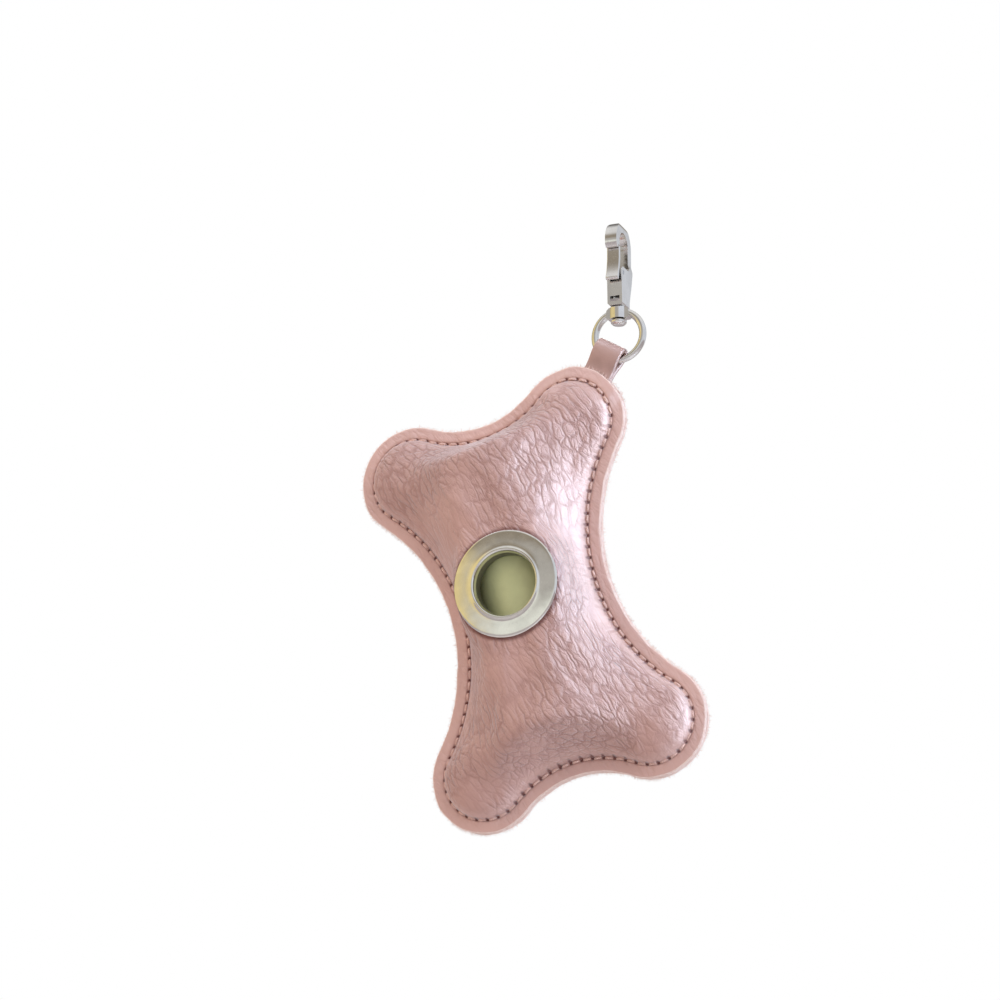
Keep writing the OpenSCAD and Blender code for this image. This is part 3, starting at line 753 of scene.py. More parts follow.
@dataclass(frozen=True)
class CutEdge:
    """The raw, fuzzy cut edge of the leather, paler than its face."""

    name: str = "cut_edge"
    pale: RGB = linear(250, 232, 222)
    dark: RGB = linear(232, 200, 186)
    fuzz: RGB = linear(255, 244, 236)

    def make(self) -> bpy.types.Material:
        """Builds the material.

        Returns:
            The material.
        """
        material, s, bsdf, coords = begin(self.name)
        fibre = s.noise(coords, 2600.0, 4.0, 0.7)
        soft = s.noise(coords, 400.0, 3.0)
        base = s.mix(s.remap(fibre, 0.35, 0.65), self.dark, self.pale)
        base = s.mix(s.math("MULTIPLY", s.remap(soft, 0.45, 0.7), 0.5), base, self.fuzz)
        normal = s.bump(fibre, 0.8, 0.0003)
        wire(s, bsdf, Base_Color=base, Roughness=0.85, Normal=normal, Specular_IOR_Level=0.1)
        return material


@dataclass(frozen=True)
class StrapLeather:
    """Smooth tan-pink leather of the folded tab."""

    name: str = "strap_leather"
    face: RGB = linear(184, 150, 139)

    def make(self) -> bpy.types.Material:
        """Builds the material.

        Returns:
            The material.
        """
        material, s, bsdf, coords = begin(self.name)
        wear = s.group(GROUPS.wear, coords, 160.0)
        fine = s.noise(coords, 3200.0, 3.0)
        base = s.mix(wear.outputs["Blotch"], self.face, darker(self.face, 0.85))
        normal = s.bump(fine, 0.35, 0.0002)
        wire(s, bsdf, Base_Color=base, Roughness=0.55, Normal=normal)
        return material


@dataclass(frozen=True)
class PlatedMetal:
    """Polished plate with faint ripples and fine rub marks."""

    name: str = "nickel_plate"
    colour: RGB = (0.78, 0.765, 0.73)
    rough: float = 0.14
    ripple: float = 0.12

    def make(self) -> bpy.types.Material:
        """Builds the material.

        Returns:
            The material.
        """
        material, s, bsdf, coords = begin(self.name)
        wear = s.group(GROUPS.wear, coords, 220.0)
        wide = s.noise(coords, 110.0, 2.0)
        base = s.mix(wear.outputs["Blotch"], self.colour, darker(self.colour, 0.9))
        rough = s.math("ADD", self.rough, s.math("MULTIPLY", wear.outputs["Speck"], 0.16))
        normal = s.bump(wide, self.ripple, 0.0006)
        wire(s, bsdf, Base_Color=base, Roughness=rough, Normal=normal, Metallic=1.0)
        return material


@dataclass(frozen=True)
class BagFilm:
    """Olive-green film of the bags, wound tight, with soft dents."""

    name: str = "bag_film"
    colour: RGB = linear(208, 214, 156)

    def make(self) -> bpy.types.Material:
        """Builds the material.

        Returns:
            The material.
        """
        material, s, bsdf, coords = begin(self.name)
        wear = s.group(GROUPS.wear, coords, 120.0)
        soft = s.noise(coords, 320.0, 3.0)
        base = s.mix(wear.outputs["Blotch"], self.colour, darker(self.colour, 0.88))
        normal = s.bump(soft, 0.35, 0.0004)
        wire(s, bsdf, Base_Color=base, Roughness=0.42, Normal=normal)
        return material


@dataclass(frozen=True)
class CoreCard:
    """Grey-brown card of the tube in the roll."""

    name: str = "core_card"
    colour: RGB = linear(168, 150, 126)

    def make(self) -> bpy.types.Material:
        """Builds the material.

        Returns:
            The material.
        """
        material, s, bsdf, coords = begin(self.name)
        fibre = s.noise(coords, 1800.0, 4.0, 0.7)
        base = s.mix(fibre, self.colour, darker(self.colour, 0.7))
        normal = s.bump(fibre, 0.4, 0.0002)
        wire(s, bsdf, Base_Color=base, Roughness=0.9, Normal=normal)
        return material


@dataclass(frozen=True)
class WovenTape:
    """Ribbed weave of the zipper's tape, on the pouch's own axes."""

    name: str = "woven_tape"
    colour: RGB = linear(176, 132, 122)

    def make(self) -> bpy.types.Material:
        """Builds the material.

        Returns:
            The material.
        """
        material, s, bsdf, coords = begin(self.name)
        turned = s.add("ShaderNodeVectorRotate", {"Vector": coords, "Angle": BONE.lean},
                       rotation_type="Y_AXIS").outputs[0]
        ribs = s.bands(turned, 620.0, 0.6, "Z")
        warp = s.bands(turned, 340.0, 0.4, "X")
        weave = s.math("MULTIPLY", ribs, warp)
        base = s.mix(weave, darker(self.colour, 0.68), self.colour)
        normal = s.bump(weave, 0.8, 0.00022)
        wire(s, bsdf, Base_Color=base, Roughness=0.88, Normal=normal, Sheen_Weight=0.25)
        return material


@dataclass(frozen=True)
class SewingThread:
    """Twisted thread in the leather's own tone."""

    name: str = "sewing_thread"
    colour: RGB = linear(226, 188, 172)

    def make(self) -> bpy.types.Material:
        """Builds the material.

        Returns:
            The material.
        """
        material, s, bsdf, coords = begin(self.name)
        ply = s.bands(coords, 900.0, 1.5, "DIAGONAL")
        base = s.mix(ply, darker(self.colour, 0.84), self.colour)
        normal = s.bump(ply, 0.6, 0.0001)
        wire(s, bsdf, Base_Color=base, Roughness=0.7, Normal=normal, Sheen_Weight=0.2)
        return material


class Finishes:
    """Every finish on the pouch, made once."""

    def __init__(self) -> None:
        """Builds the materials."""
        self.leather = PebbledLeather().make()
        self.edge = CutEdge().make()
        self.strap = StrapLeather().make()
        self.nickel = PlatedMetal().make()
        self.eyelet = PlatedMetal(name="eyelet_plate", colour=(0.80, 0.78, 0.72), rough=0.1,
                                  ripple=0.22).make()
        # A dark plate that stands for painted shade inside the eyelet's throat.
        self.throat = PlatedMetal(name="throat_plate", colour=(0.26, 0.25, 0.24), rough=0.38).make()
        self.steel = PlatedMetal(name="plain_steel", colour=(0.5, 0.5, 0.51), rough=0.3).make()
        # A near-black plate that stands for painted shade on the rivet's head, deep in its window.
        self.recess_shade = PlatedMetal(name="recess_plate", colour=(0.1, 0.095, 0.09), rough=0.5).make()
        self.film = BagFilm().make()
        self.card = CoreCard().make()
        self.tape = WovenTape().make()
        self.thread = SewingThread().make()


# Mesh helpers

WELD = 2e-6
FLAT_ANGLE = math.radians(0.8)
EDGE_ANGLE = math.radians(34)


def mesh_object(name: str, vertices: np.ndarray, faces: Sequence[Sequence[int]],
                materials: Sequence[bpy.types.Material]) -> bpy.types.Object:
    """Makes a smooth-shaded object at the origin from points in the row frame.

    Args:
        name: the object's name.
        vertices: the points, in metres.
        faces: the points' places of each face.
        materials: its finishes.

    Returns:
        The new object.
    """
    mesh = bpy.data.meshes.new(name)
    mesh.from_pydata([tuple(v) for v in vertices], [], [tuple(f) for f in faces])
    for material in materials:
        mesh.materials.append(material)
    mesh.polygons.foreach_set("use_smooth", [True] * len(mesh.polygons))
    mesh.validate()
    obj = bpy.data.objects.new(name, mesh)
    bpy.context.scene.collection.objects.link(obj)
    return obj


def apply_all(obj: bpy.types.Object) -> None:
    """Turns the evaluated object into a plain mesh and clears its modifiers.

    Args:
        obj: the object.
    """
    bpy.context.view_layer.update()
    graph = bpy.context.evaluated_depsgraph_get()
    mesh = bpy.data.meshes.new_from_object(obj.evaluated_get(graph))
    obj.modifiers.clear()
    old = obj.data
    obj.data = mesh
    mesh.name = obj.name
    bpy.data.meshes.remove(old)


def tube_faces(rings: int, count: int) -> list[tuple[int, ...]]:
    """Faces of a tube from its first ring to its last, with a cap on each end.

    Args:
        rings: number of rings.
        count: points in a ring.

    Returns:
        The faces.
    """
    faces = []
    for j in range(rings - 1):
        for i in range(count):
            n = (i + 1) % count
            faces.append((j * count + i, (j + 1) * count + i, (j + 1) * count + n, j * count + n))
    faces.append(tuple(range(count)))
    faces.append(tuple((rings - 1) * count + i for i in reversed(range(count))))
    return faces


def face_outwards(obj: bpy.types.Object) -> None:
    """Turns the faces outwards.

    Args:
        obj: the object.
    """
    work = bmesh.new()
    work.from_mesh(obj.data)
    bmesh.ops.recalc_face_normals(work, faces=work.faces)
    work.to_mesh(obj.data)
    work.free()


def merge(obj: bpy.types.Object, distance: float = 1e-6) -> bpy.types.Object:
    """Merges doubles and turns the faces outwards.

    Args:
        obj: the object.
        distance: how close doubles lie, in metres.

    Returns:
        The same object.
    """
    work = bmesh.new()
    work.from_mesh(obj.data)
    bmesh.ops.remove_doubles(work, verts=work.verts, dist=distance)
    bmesh.ops.recalc_face_normals(work, faces=work.faces)
    work.to_mesh(obj.data)
    work.free()
    return obj


def polished(node: str, name: str, material: bpy.types.Material, width: float, body: str, slot: str,
             segments: int = 3) -> bpy.types.Object:
    """A copy of a rigid node with rounded edges, standing for it.

    Args:
        node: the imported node's name.
        name: the new piece's name.
        material: its finish.
        width: the width of the rounding, in mm.
        body: the body it rides on.
        slot: the record's material slot.
        segments: steps across the rounding.

    Returns:
        The new piece.
    """
    source = frame["nodes"][node]
    mesh = source.data.copy()
    mesh.transform(source.matrix_world)
    obj = bpy.data.objects.new(name, mesh)
    bpy.context.scene.collection.objects.link(obj)
    mesh.materials.clear()
    mesh.materials.append(material)
    work = bmesh.new()
    work.from_mesh(mesh)
    bmesh.ops.remove_doubles(work, verts=work.verts, dist=WELD)
    bmesh.ops.dissolve_limit(work, angle_limit=FLAT_ANGLE, verts=work.verts, edges=work.edges)
    work.to_mesh(mesh)
    work.free()
    bevel = obj.modifiers.new("rounding", "BEVEL")
    bevel.width = width * MM
    bevel.segments = segments
    bevel.limit_method = "ANGLE"
    bevel.angle_limit = EDGE_ANGLE
    bevel.harden_normals = False
    bevel.miter_outer = "MITER_ARC"
    bevel.use_clamp_overlap = True
    apply_all(obj)
    smooth_by_angle(obj, 40)
    even_shading(obj)
    return finish(obj, body, slot, node)


def even_shading(obj: bpy.types.Object) -> None:
    """Weights the normals by face area, so flat faces stay flat beside their rounded edges.

    Args:
        obj: the object.
    """
    weigh = obj.modifiers.new("even_shading", "WEIGHTED_NORMAL")
    weigh.mode = "FACE_AREA"
    weigh.weight = 90
    weigh.keep_sharp = True
    apply_all(obj)


def smooth_by_angle(obj: bpy.types.Object, degrees: float) -> None:
    """Shades smooth and keeps edges sharper than the angle.

    Args:
        obj: the object.
        degrees: the angle.
    """
    mesh = obj.data
    mesh.polygons.foreach_set("use_smooth", [True] * len(mesh.polygons))
    work = bmesh.new()
    work.from_mesh(mesh)
    for edge in work.edges:
        edge.smooth = len(edge.link_faces) == 2 and edge.calc_face_angle(0.0) < math.radians(degrees)
    work.to_mesh(mesh)
    work.free()


def finish(obj: bpy.types.Object, body: str, slot: str, *nodes: str) -> bpy.types.Object:
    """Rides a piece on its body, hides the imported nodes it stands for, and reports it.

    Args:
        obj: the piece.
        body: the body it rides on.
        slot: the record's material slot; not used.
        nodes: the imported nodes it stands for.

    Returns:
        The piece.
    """
    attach(obj, body)
    if nodes:
        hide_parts(*nodes)
    log.info("%s rides on %s, %d faces", obj.name, body, len(obj.data.polygons))
    return obj


def dress(node: str, material: bpy.types.Material) -> None:
    """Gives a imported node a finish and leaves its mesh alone.

    Args:
        node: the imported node's name.
        material: its finish.
    """
    obj = frame["nodes"][node]
    if not obj.material_slots:
        obj.data.materials.append(None)
    for place in obj.material_slots:
        place.link = "OBJECT"
        place.material = material
    log.info("%s keeps its packed mesh", node)


# Geometry Nodes


class Repeater:
    """A Geometry Nodes tree that sets copies of one small piece along a path."""

    def __init__(self, name: str, piece: bpy.types.Object, material: bpy.types.Material) -> None:
        """Builds the tree.

        Args:
            name: the tree's name.
            piece: the object that is repeated. Its length lies along X and its top faces Z.
            material: the finish of the copies.
        """
        tree = bpy.data.node_groups.new(name, "GeometryNodeTree")
        face = tree.interface
        face.new_socket("Path", in_out="INPUT", socket_type="NodeSocketGeometry")
        self.sockets = {}
        for key, kind in (("Count", "Int"), ("Jitter", "Float"), ("Slant", "Float"), ("Least", "Float")):
            socket = face.new_socket(key, in_out="INPUT", socket_type="NodeSocket" + kind)
            self.sockets[key] = socket.identifier
        face.new_socket("Pieces", in_out="OUTPUT", socket_type="NodeSocketGeometry")
        s = Shade(tree)
        entry = tree.nodes.new("NodeGroupInput")
        curve = s.add("GeometryNodeMeshToCurve", {"Mesh": entry.outputs["Path"]})
        points = s.add("GeometryNodeCurveToPoints",
                       {"Curve": curve.outputs[0], "Count": entry.outputs["Count"]}, mode="COUNT")
        top = s.add("GeometryNodeInputNamedAttribute", {"Name": "top"}, data_type="FLOAT_VECTOR")
        first = s.add("FunctionNodeAlignRotationToVector", {"Vector": points.outputs["Tangent"]}, axis="X")
        second = s.add("FunctionNodeAlignRotationToVector",
                       {"Rotation": first.outputs[0], "Vector": top.outputs["Attribute"]},
                       axis="Z", pivot_axis="X")
        wobble = s.add("FunctionNodeRandomValue", {"Seed": 7}, data_type="FLOAT")
        spread = s.math("MULTIPLY", entry.outputs["Jitter"], -1.0)
        tree.links.new(spread, wobble.inputs[2])
        tree.links.new(entry.outputs["Jitter"], wobble.inputs[3])
        turn = s.math("ADD", wobble.outputs[1], entry.outputs["Slant"])
        spin = s.add("FunctionNodeAxisAngleToRotation", {"Axis": (0.0, 0.0, 1.0), "Angle": turn})
        turned = s.add("FunctionNodeRotateRotation", {0: second.outputs[0], 1: spin.outputs[0]},
                       rotation_space="LOCAL")
        sizes = s.add("FunctionNodeRandomValue", {"Seed": 11}, data_type="FLOAT")
        tree.links.new(entry.outputs["Least"], sizes.inputs[2])
        sizes.inputs[3].default_value = 1.0
        info = s.add("GeometryNodeObjectInfo", {"Object": piece})
        copies = s.add("GeometryNodeInstanceOnPoints",
                       {"Points": points.outputs[0], "Instance": info.outputs["Geometry"],
                        "Rotation": turned.outputs[0], "Scale": sizes.outputs[1]})
        real = s.add("GeometryNodeRealizeInstances", {0: copies.outputs[0]})
        paint = s.add("GeometryNodeSetMaterial", {0: real.outputs[0], "Material": material})
        s.add("NodeGroupOutput", {"Pieces": paint.outputs[0]})
        self.tree = tree

    def along(self, name: str, path: np.ndarray, tops: np.ndarray, count: int, jitter: float = 0.05,
              slant: float = 0.0, least: float = 1.0) -> bpy.types.Object:
        """Sets the copies along a loop.

        Args:
            name: the new object's name.
            path: points of the loop, in the row frame.
            tops: the direction that the copies' tops face, at each point.
            count: number of copies.
            jitter: random turn of each copy, in radians.
            slant: turn that all copies share, in radians.
            least: size of the smallest copy; the sizes run from it to 1.

        Returns:
            The object with all copies as one plain mesh.
        """
        mesh = bpy.data.meshes.new(name)
        n = len(path)
        edges = [(k, (k + 1) % n) for k in range(n)]
        mesh.from_pydata([tuple(p) for p in path], edges, [])
        attribute = mesh.attributes.new("top", "FLOAT_VECTOR", "POINT")
        attribute.data.foreach_set("vector", np.asarray(tops, dtype=np.float32).ravel())
        obj = bpy.data.objects.new(name, mesh)
        bpy.context.scene.collection.objects.link(obj)
        modifier = obj.modifiers.new("repeat", "NODES")
        modifier.node_group = self.tree
        for key, value in (("Count", count), ("Jitter", jitter), ("Slant", slant), ("Least", least)):
            modifier[self.sockets[key]] = value
        apply_all(obj)
        obj.data.polygons.foreach_set("use_smooth", [True] * len(obj.data.polygons))
        return obj


def remove(obj: bpy.types.Object) -> None:
    """Deletes a helper object."""
    bpy.data.objects.remove(obj, do_unlink=True)


# Leather panels


@dataclass(frozen=True)
class LeatherRelief:
    """Soft dents, drag lines, tucks at the seam and the stitches' groove. Sizes are in waves per mm."""

    groove_at: float = BONE.stitch_in
    groove_deep: float = 0.32
    groove_w: float = 0.55
    dent_size: float = 0.07
    dent_high: float = 0.4
    drag_turn: float = 0.75
    drag_size: tuple[float, float] = (0.24, 0.085)
    drag_high: float = 0.2
    tuck_size: tuple[float, float] = (0.34, 0.16)
    tuck_high: float = 0.4
    seam_blend: float = 4.0
    eyelet_clear: tuple[float, float] = (15.0, 6.0)
    zip_clear_x: tuple[float, float] = (6.0, 6.0)
    zip_clear_z: tuple[float, float] = (37.0, 5.0)
    front_seed: float = 3.0
    back_seed: float = 11.0

    @staticmethod
    def waves(a: np.ndarray, b: np.ndarray, seed: float) -> np.ndarray:
        """Noise over two arrays of coordinates."""
        flat = [noise.noise((p, q, seed)) for p, q in zip(a.ravel(), b.ravel())]
        return np.array(flat).reshape(a.shape)

    def clear(self, x: np.ndarray, z: np.ndarray, side: Side) -> np.ndarray:
        """Keeps the leather plain round the eyelet in front, and along the zipper at the back.

        Args:
            x: places along the width, in mm.
            z: places along the height, in mm.
            side: the front or the back.

        Returns:
            The share of the relief that stays at each place.
        """
        if side is Side.FRONT:
            start, blend = self.eyelet_clear
            return smooth((np.hypot(x, z) - start) / blend)
        (start_x, blend_x), (start_z, blend_z) = self.zip_clear_x, self.zip_clear_z
        return np.maximum(smooth((np.abs(x) - start_x) / blend_x), smooth((np.abs(z) - start_z) / blend_z))

    def height(self, x: np.ndarray, z: np.ndarray, side: Side, along: np.ndarray) -> np.ndarray:
        """What the relief adds on top of the leather's rise.

        Args:
            x: places along the width, in mm.
            z: places along the height, in mm.
            side: the front or the back.
            along: way along the seam at each place, in mm.

        Returns:
            The height at each place, in mm.
        """
        e = BONE.edge_dist(x, z)
        seed = self.front_seed if side is Side.FRONT else self.back_seed
        wide = self.waves(x * self.dent_size, z * self.dent_size, seed)
        c, s = math.cos(self.drag_turn), math.sin(self.drag_turn)
        drag = self.waves((x * c + z * s) * self.drag_size[0], (z * c - x * s) * self.drag_size[1], seed + 4)
        tuck = self.waves(along * self.tuck_size[0], e * self.tuck_size[1], seed + 9)
        puffed = smooth((e - BONE.seam_w - 0.6) / self.seam_blend)
        near_seam = puffed * (1 - smooth((e - 6) / self.seam_blend))
        soft = self.dent_high * wide + self.drag_high * drag
        seam = -self.groove_deep * np.exp(-(((e - self.groove_at) / self.groove_w) ** 2))
        return puffed * self.clear(x, z, side) * soft + near_seam * self.tuck_high * tuck + seam


class ShellFaces:
    """Quads between the rings of a leather shell, with their seam coordinates and their finish."""

    FACE = 0
    EDGE = 1

    def __init__(self, along: np.ndarray) -> None:
        """Starts with no faces.

        Args:
            along: way along the seam at each point of a ring, in mm, and the whole way round at its end.
        """
        self.along = along * MM
        self.quads: list[tuple[int, ...]] = []
        self.marks: list[tuple[float, float]] = []
        self.kinds: list[int] = []

    def strip(self, low: int, high: int, flip: bool, kind: int, low_in: np.ndarray,
              high_in: np.ndarray) -> None:
        """Adds the quads between two rings.

        Args:
            low: the first point of one ring.
            high: the first point of the other ring.
            flip: whether the quads go round the other way.
            kind: the place of their finish.
            low_in: way in from the raw edge at each point of the one ring, in mm.
            high_in: way in at each point of the other ring, in mm.
        """
        count = len(self.along) - 1
        for i in range(count):
            n = (i + 1) % count
            u0, u1 = self.along[i], self.along[i + 1]
            quad = [low + i, low + n, high + n, high + i]
            marks = [(u0, low_in[i] * MM), (u1, low_in[n] * MM), (u1, high_in[n] * MM), (u0, high_in[i] * MM)]
            self.quads.append(tuple(quad[::-1] if flip else quad))
            self.marks.extend(marks[::-1] if flip else marks)
            self.kinds.append(kind)


@dataclass
class LeatherPanels:
    """Front and back of the bone, with their puckered seam, raw edges and stitches, in mm."""

    finishes: Finishes
    relief: LeatherRelief = LeatherRelief()
    steps: tuple[int, int, int] = (16, 34, 12)
    fine_steps: tuple[int, int, int] = (60, 90, 40)
    stitch_inset: float = BONE.stitch_in
    stitch_half: float = 1.1
    stitch_r: float = 0.38
    stitch_sunk: float = 0.2
    stitches: int = 118
    near: tuple[float, ...] = (0.0, 0.25, 0.9, 1.9, 2.7, 3.1, 3.5, 3.9, 4.3, 4.8, 5.4, 6.2, 7.1)
    toward_hole: int = 27
    front_rims: tuple[float, ...] = (4.7, 3.2, 1.6, 0.0)
    back_rims: tuple[float, ...] = (1.5, 0.8, 0.25, 0.0)
    front_shares: tuple[float, float] = (0.75, 0.92)
    back_shares: tuple[float, float] = (0.62, 0.86)
    edge_round: tuple[float, float] = (0.2, 0.05)
    edge_under: float = 0.12
    fray_long: tuple[float, float] = (0.22, 0.3)
    fray_short: tuple[float, float] = (1.1, 0.12)
    lining_fine: int = 6
    lining_in: float = 20.0
    sheet_from: int = 5
    sim_scale: float = 0.02
    sim_frames: int = 26
    sim_reach: float = 0.9
    fibres: tuple[int, int] = (620, 657)
    fibre_rings: tuple[tuple[float, float, float], ...] = (
        (0.0, -0.06, 0.075), (0.1, 0.26, 0.07), (0.36, 0.56, 0.055), (0.7, 0.8, 0.02))
    fibre_heights: tuple[float, float] = (0.35, 1.0)

    def hole_quarter(self, side: Side, grow: float) -> np.ndarray:
        """One quarter of the hole's outline, in step with the bone's outline.

        Args:
            side: the front with its round hole, or the back with its slot.
            grow: distance outside the hole, in mm.

        Returns:
            An array of x, z points, one more than the sum of the steps.
        """
        a, b, c = self.steps
        at_side, at_lobe = self.front_shares if side is Side.FRONT else self.back_shares
        share = np.concatenate([np.linspace(0, at_side, a, endpoint=False),
                                np.linspace(at_side, at_lobe, b, endpoint=False),
                                np.linspace(at_lobe, 1, c + 1)])
        if side is Side.FRONT:
            t = share * math.pi / 2
            r = BONE.hole_r + grow
            return np.stack([r * np.cos(t), r * np.sin(t)], -1)
        straight = BONE.window_half - BONE.window_r
        path = (straight + BONE.window_r * math.pi / 2) * share
        t = np.maximum(0, path - straight) / BONE.window_r
        r = BONE.window_r + grow
        return np.stack([r * np.cos(t), np.minimum(path, straight) + r * np.sin(t)], -1)

    def grid(self, side: Side) -> np.ndarray:
        """Rings of x, z points from the raw edge to the hole.

        Args:
            side: the front or the back.

        Returns:
            The rings, in mm.
        """
        seat_grow, *rims = self.front_rims if side is Side.FRONT else self.back_rims
        rings = [BONE.whole(BONE.outline(self.steps, d)) for d in self.near]
        seat = BONE.whole(self.hole_quarter(side, seat_grow))
        last = rings[-1]
        for k in range(1, self.toward_hole + 1):
            t = k / self.toward_hole
            rings.append(last * (1 - t) + seat * t)
        for grow in rims:
            rings.append(BONE.whole(self.hole_quarter(side, grow)))
        return np.array(rings)

    def seam_way(self) -> np.ndarray:
        """Way along the seam at each point of a ring, in mm, stretched to a whole number of stitches.

        Returns:
            The way at each point, and the whole way round at its end.
        """
        line = BONE.whole(BONE.outline(self.steps, self.stitch_inset))
        step = np.linalg.norm(np.roll(line, -1, 0) - line, axis=1)
        along = np.concatenate([[0], np.cumsum(step)])
        return along * (self.stitches * BONE.stitch_pitch / along[-1])

    def settle(self, points: np.ndarray) -> np.ndarray:
        """Lets the leather settle as a cloth held at its seam and at its hole.

        The sheet is a little too large for its frame, so it puckers, and light pressure from inside keeps
        it full.

        Args:
            points: rings of x, y, z points from the seam to the hole, in mm.

        Returns:
            How far each point moves, in mm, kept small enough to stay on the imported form.
        """
        rings, count = points.shape[:2]
        faces = []
        for j in range(rings - 1):
            for i in range(count):
                n = (i + 1) % count
                faces.append((j * count + i, j * count + n, (j + 1) * count + n, (j + 1) * count + i))
        obj = mesh_object("sheet_model", points.reshape(-1, 3) * self.sim_scale, faces, ())
        pins = obj.vertex_groups.new(name="pins")
        pins.add(list(range(count * 2)) + list(range(count * (rings - 3), count * rings)), 1.0, "REPLACE")
        cloth = obj.modifiers.new("settle", "CLOTH")
        rules = cloth.settings
        rules.quality = 6
        rules.mass = 0.4
        rules.tension_stiffness = rules.compression_stiffness = 25.0
        rules.shear_stiffness = 10.0
        rules.bending_stiffness = 6.0
        rules.vertex_group_mass = "pins"
        rules.shrink_min = -0.022
        rules.use_pressure = True
        rules.uniform_pressure_force = 0.7 * (1 if points[..., 1].mean() > 0 else -1)
        rules.effector_weights.gravity = 0.0
        cloth.collision_settings.use_collision = False
        cloth.collision_settings.use_self_collision = False
        cloth.point_cache.frame_start = 1
        cloth.point_cache.frame_end = self.sim_frames
        scene = bpy.context.scene
        for step in range(1, self.sim_frames + 1):
            scene.frame_set(step)
        graph = bpy.context.evaluated_depsgraph_get()
        done = obj.evaluated_get(graph).data
        flat = np.empty(len(done.vertices) * 3, dtype=np.float32)
        done.vertices.foreach_get("co", flat)
        scene.frame_set(1)
        remove(obj)
        move = flat.reshape(rings, count, 3) / self.sim_scale - points
        for _ in range(2):
            move[1:-1] = (move[1:-1] * 2 + move[:-2] + move[2:]) / 4
            move = (move * 2 + np.roll(move, 1, 1) + np.roll(move, -1, 1)) / 4
        size = np.linalg.norm(move, axis=2, keepdims=True)
        log.info("the sheet moved %.2f mm at most", float(size.max()))
        return move / (1 + size / self.sim_reach)

    def settled(self, points: np.ndarray) -> np.ndarray:
        """Args:
            points: rings of x, y, z points from the raw edge to the hole, in mm.

        Returns:
            The movement of each point, in mm.
        """
        moved = np.zeros(points.shape)
        first, last = self.sheet_from, len(points) - 2
        half = self.settle(points[first:last, ::2])
        moved[first:last, ::2] = half
        moved[first:last, 1::2] = (half + np.roll(half, -1, 1)) / 2
        return moved

    def fray(self, grid: np.ndarray, along: np.ndarray, side: Side) -> None:
        """Moves the raw edge in and out a little, as if cut by hand.

        Args:
            grid: rings of x, z points, of which the outer two are moved.
            along: way along the seam at each point of a ring, in mm.
            side: the front or the back.
        """
        seed = float(side.value)
        (long_size, long_deep), (short_size, short_deep) = self.fray_long, self.fray_short
        rim = np.array([noise.noise((u * long_size, 2.0, seed)) * long_deep
                        + noise.noise((u * short_size, 5.0, seed)) * short_deep for u in along])
        outward = grid[0] - grid[3]
        outward /= np.linalg.norm(outward, axis=1)[:, None]
        grid[0] += outward * rim[:, None]
        grid[1] += outward * rim[:, None] * 0.8

    def shell_faces(self, side: Side, way_in: np.ndarray, along: np.ndarray, lining: int) -> ShellFaces:
        """Faces of a panel: its face from the raw edge to the hole, its lining, and the two rims.

        Args:
            side: the front or the back.
            way_in: way in from the raw edge at each point of the face's rings, in mm.
            along: way along the seam at each point of a ring, in mm.
            lining: number of rings of the lining.

        Returns:
            The faces.
        """
        front = side is Side.FRONT
        rings, count = way_in.shape
        base, last = rings * count, (lining - 1) * count
        plain = np.full(count, self.lining_in)
        shell = ShellFaces(along)
        for j in range(rings - 1):
            kind = shell.FACE if j else shell.EDGE
            shell.strip(j * count, (j + 1) * count, not front, kind, way_in[j], way_in[j + 1])
        for j in range(lining - 1):
            shell.strip(base + j * count, base + (j + 1) * count, front, shell.EDGE, plain, plain)
        shell.strip(0, base, front, shell.EDGE, plain, plain)
        shell.strip((rings - 1) * count, base + last, not front, shell.EDGE, plain, plain)
        return shell

    def panel(self, side: Side) -> bpy.types.Object:
        """Builds one leather panel as a closed shell.

        Args:
            side: the front or the back.

        Returns:
            The panel.
        """
        grid = self.grid(side)
        x, z = grid[..., 0], grid[..., 1]
        along = self.seam_way()
        under = np.maximum(BONE.rise(x, z, side), BONE.strap_lift(x, z))
        relief = self.relief.height(x, z, side, np.broadcast_to(along[:-1], x.shape))
        outer = under + BONE.leather_t + relief
        sign = side.value
        moved = self.settled(np.stack([x, sign * outer, z], -1))
        self.fray(grid, along[:-1], side)
        for ring, lower in enumerate(self.edge_round):
            outer[ring] = under[ring] + BONE.leather_t - lower
        rings = len(grid)
        keep = [*range(self.lining_fine), *range(self.lining_fine, rings, 2)]
        if keep[-1] != rings - 1:
            keep.append(rings - 1)
        face = np.stack([x, sign * outer, z], -1) + moved
        lining = (np.stack([x, sign * under, z], -1) + moved)[keep]
        lining[0, :, 1] = sign * (under[0] + self.edge_under)
        points = BONE.place(np.concatenate([face.reshape(-1, 3), lining.reshape(-1, 3)]))
        way_in = BONE.edge_dist(x, z)
        way_in[:2] = np.array(self.near[:2])[:, None]
        shell = self.shell_faces(side, way_in, along, len(keep))
        name = side.name.lower()
        obj = mesh_object(f"{name}_leather", points, shell.quads, (self.finishes.leather, self.finishes.edge))
        layer = obj.data.uv_layers.new(name="seam")
        layer.data.foreach_set("uv", np.array(shell.marks, dtype=np.float32).ravel())
        obj.data.polygons.foreach_set("material_index", shell.kinds)
        face_outwards(obj)
        smooth_by_angle(obj, 50)
        return finish(obj, "pouch", "leather", f"{name}_panel")

    def stitch(self) -> bpy.types.Object:
        """One stitch: a short arched thread whose ends dip into the leather.

        Returns:
            The stitch, to be repeated.
        """
        sides, steps = 8, 8
        points = []
        for j in range(steps + 1):
            t = -1 + 2 * j / steps
            arch = 0.2 * (1 - t * t) - 0.22 * abs(t) ** 6
            width = self.stitch_r * (1 - 0.35 * abs(t) ** 3)
            for i in range(sides):
                a = 2 * math.pi * i / sides
                points.append((self.stitch_half * t, width * math.cos(a), arch + width * 0.85 * math.sin(a)))
        faces = tube_faces(steps + 1, sides)
        obj = mesh_object("stitch_model", np.array(points) * MM, faces, (self.finishes.thread,))
        return merge(obj, 1e-8)

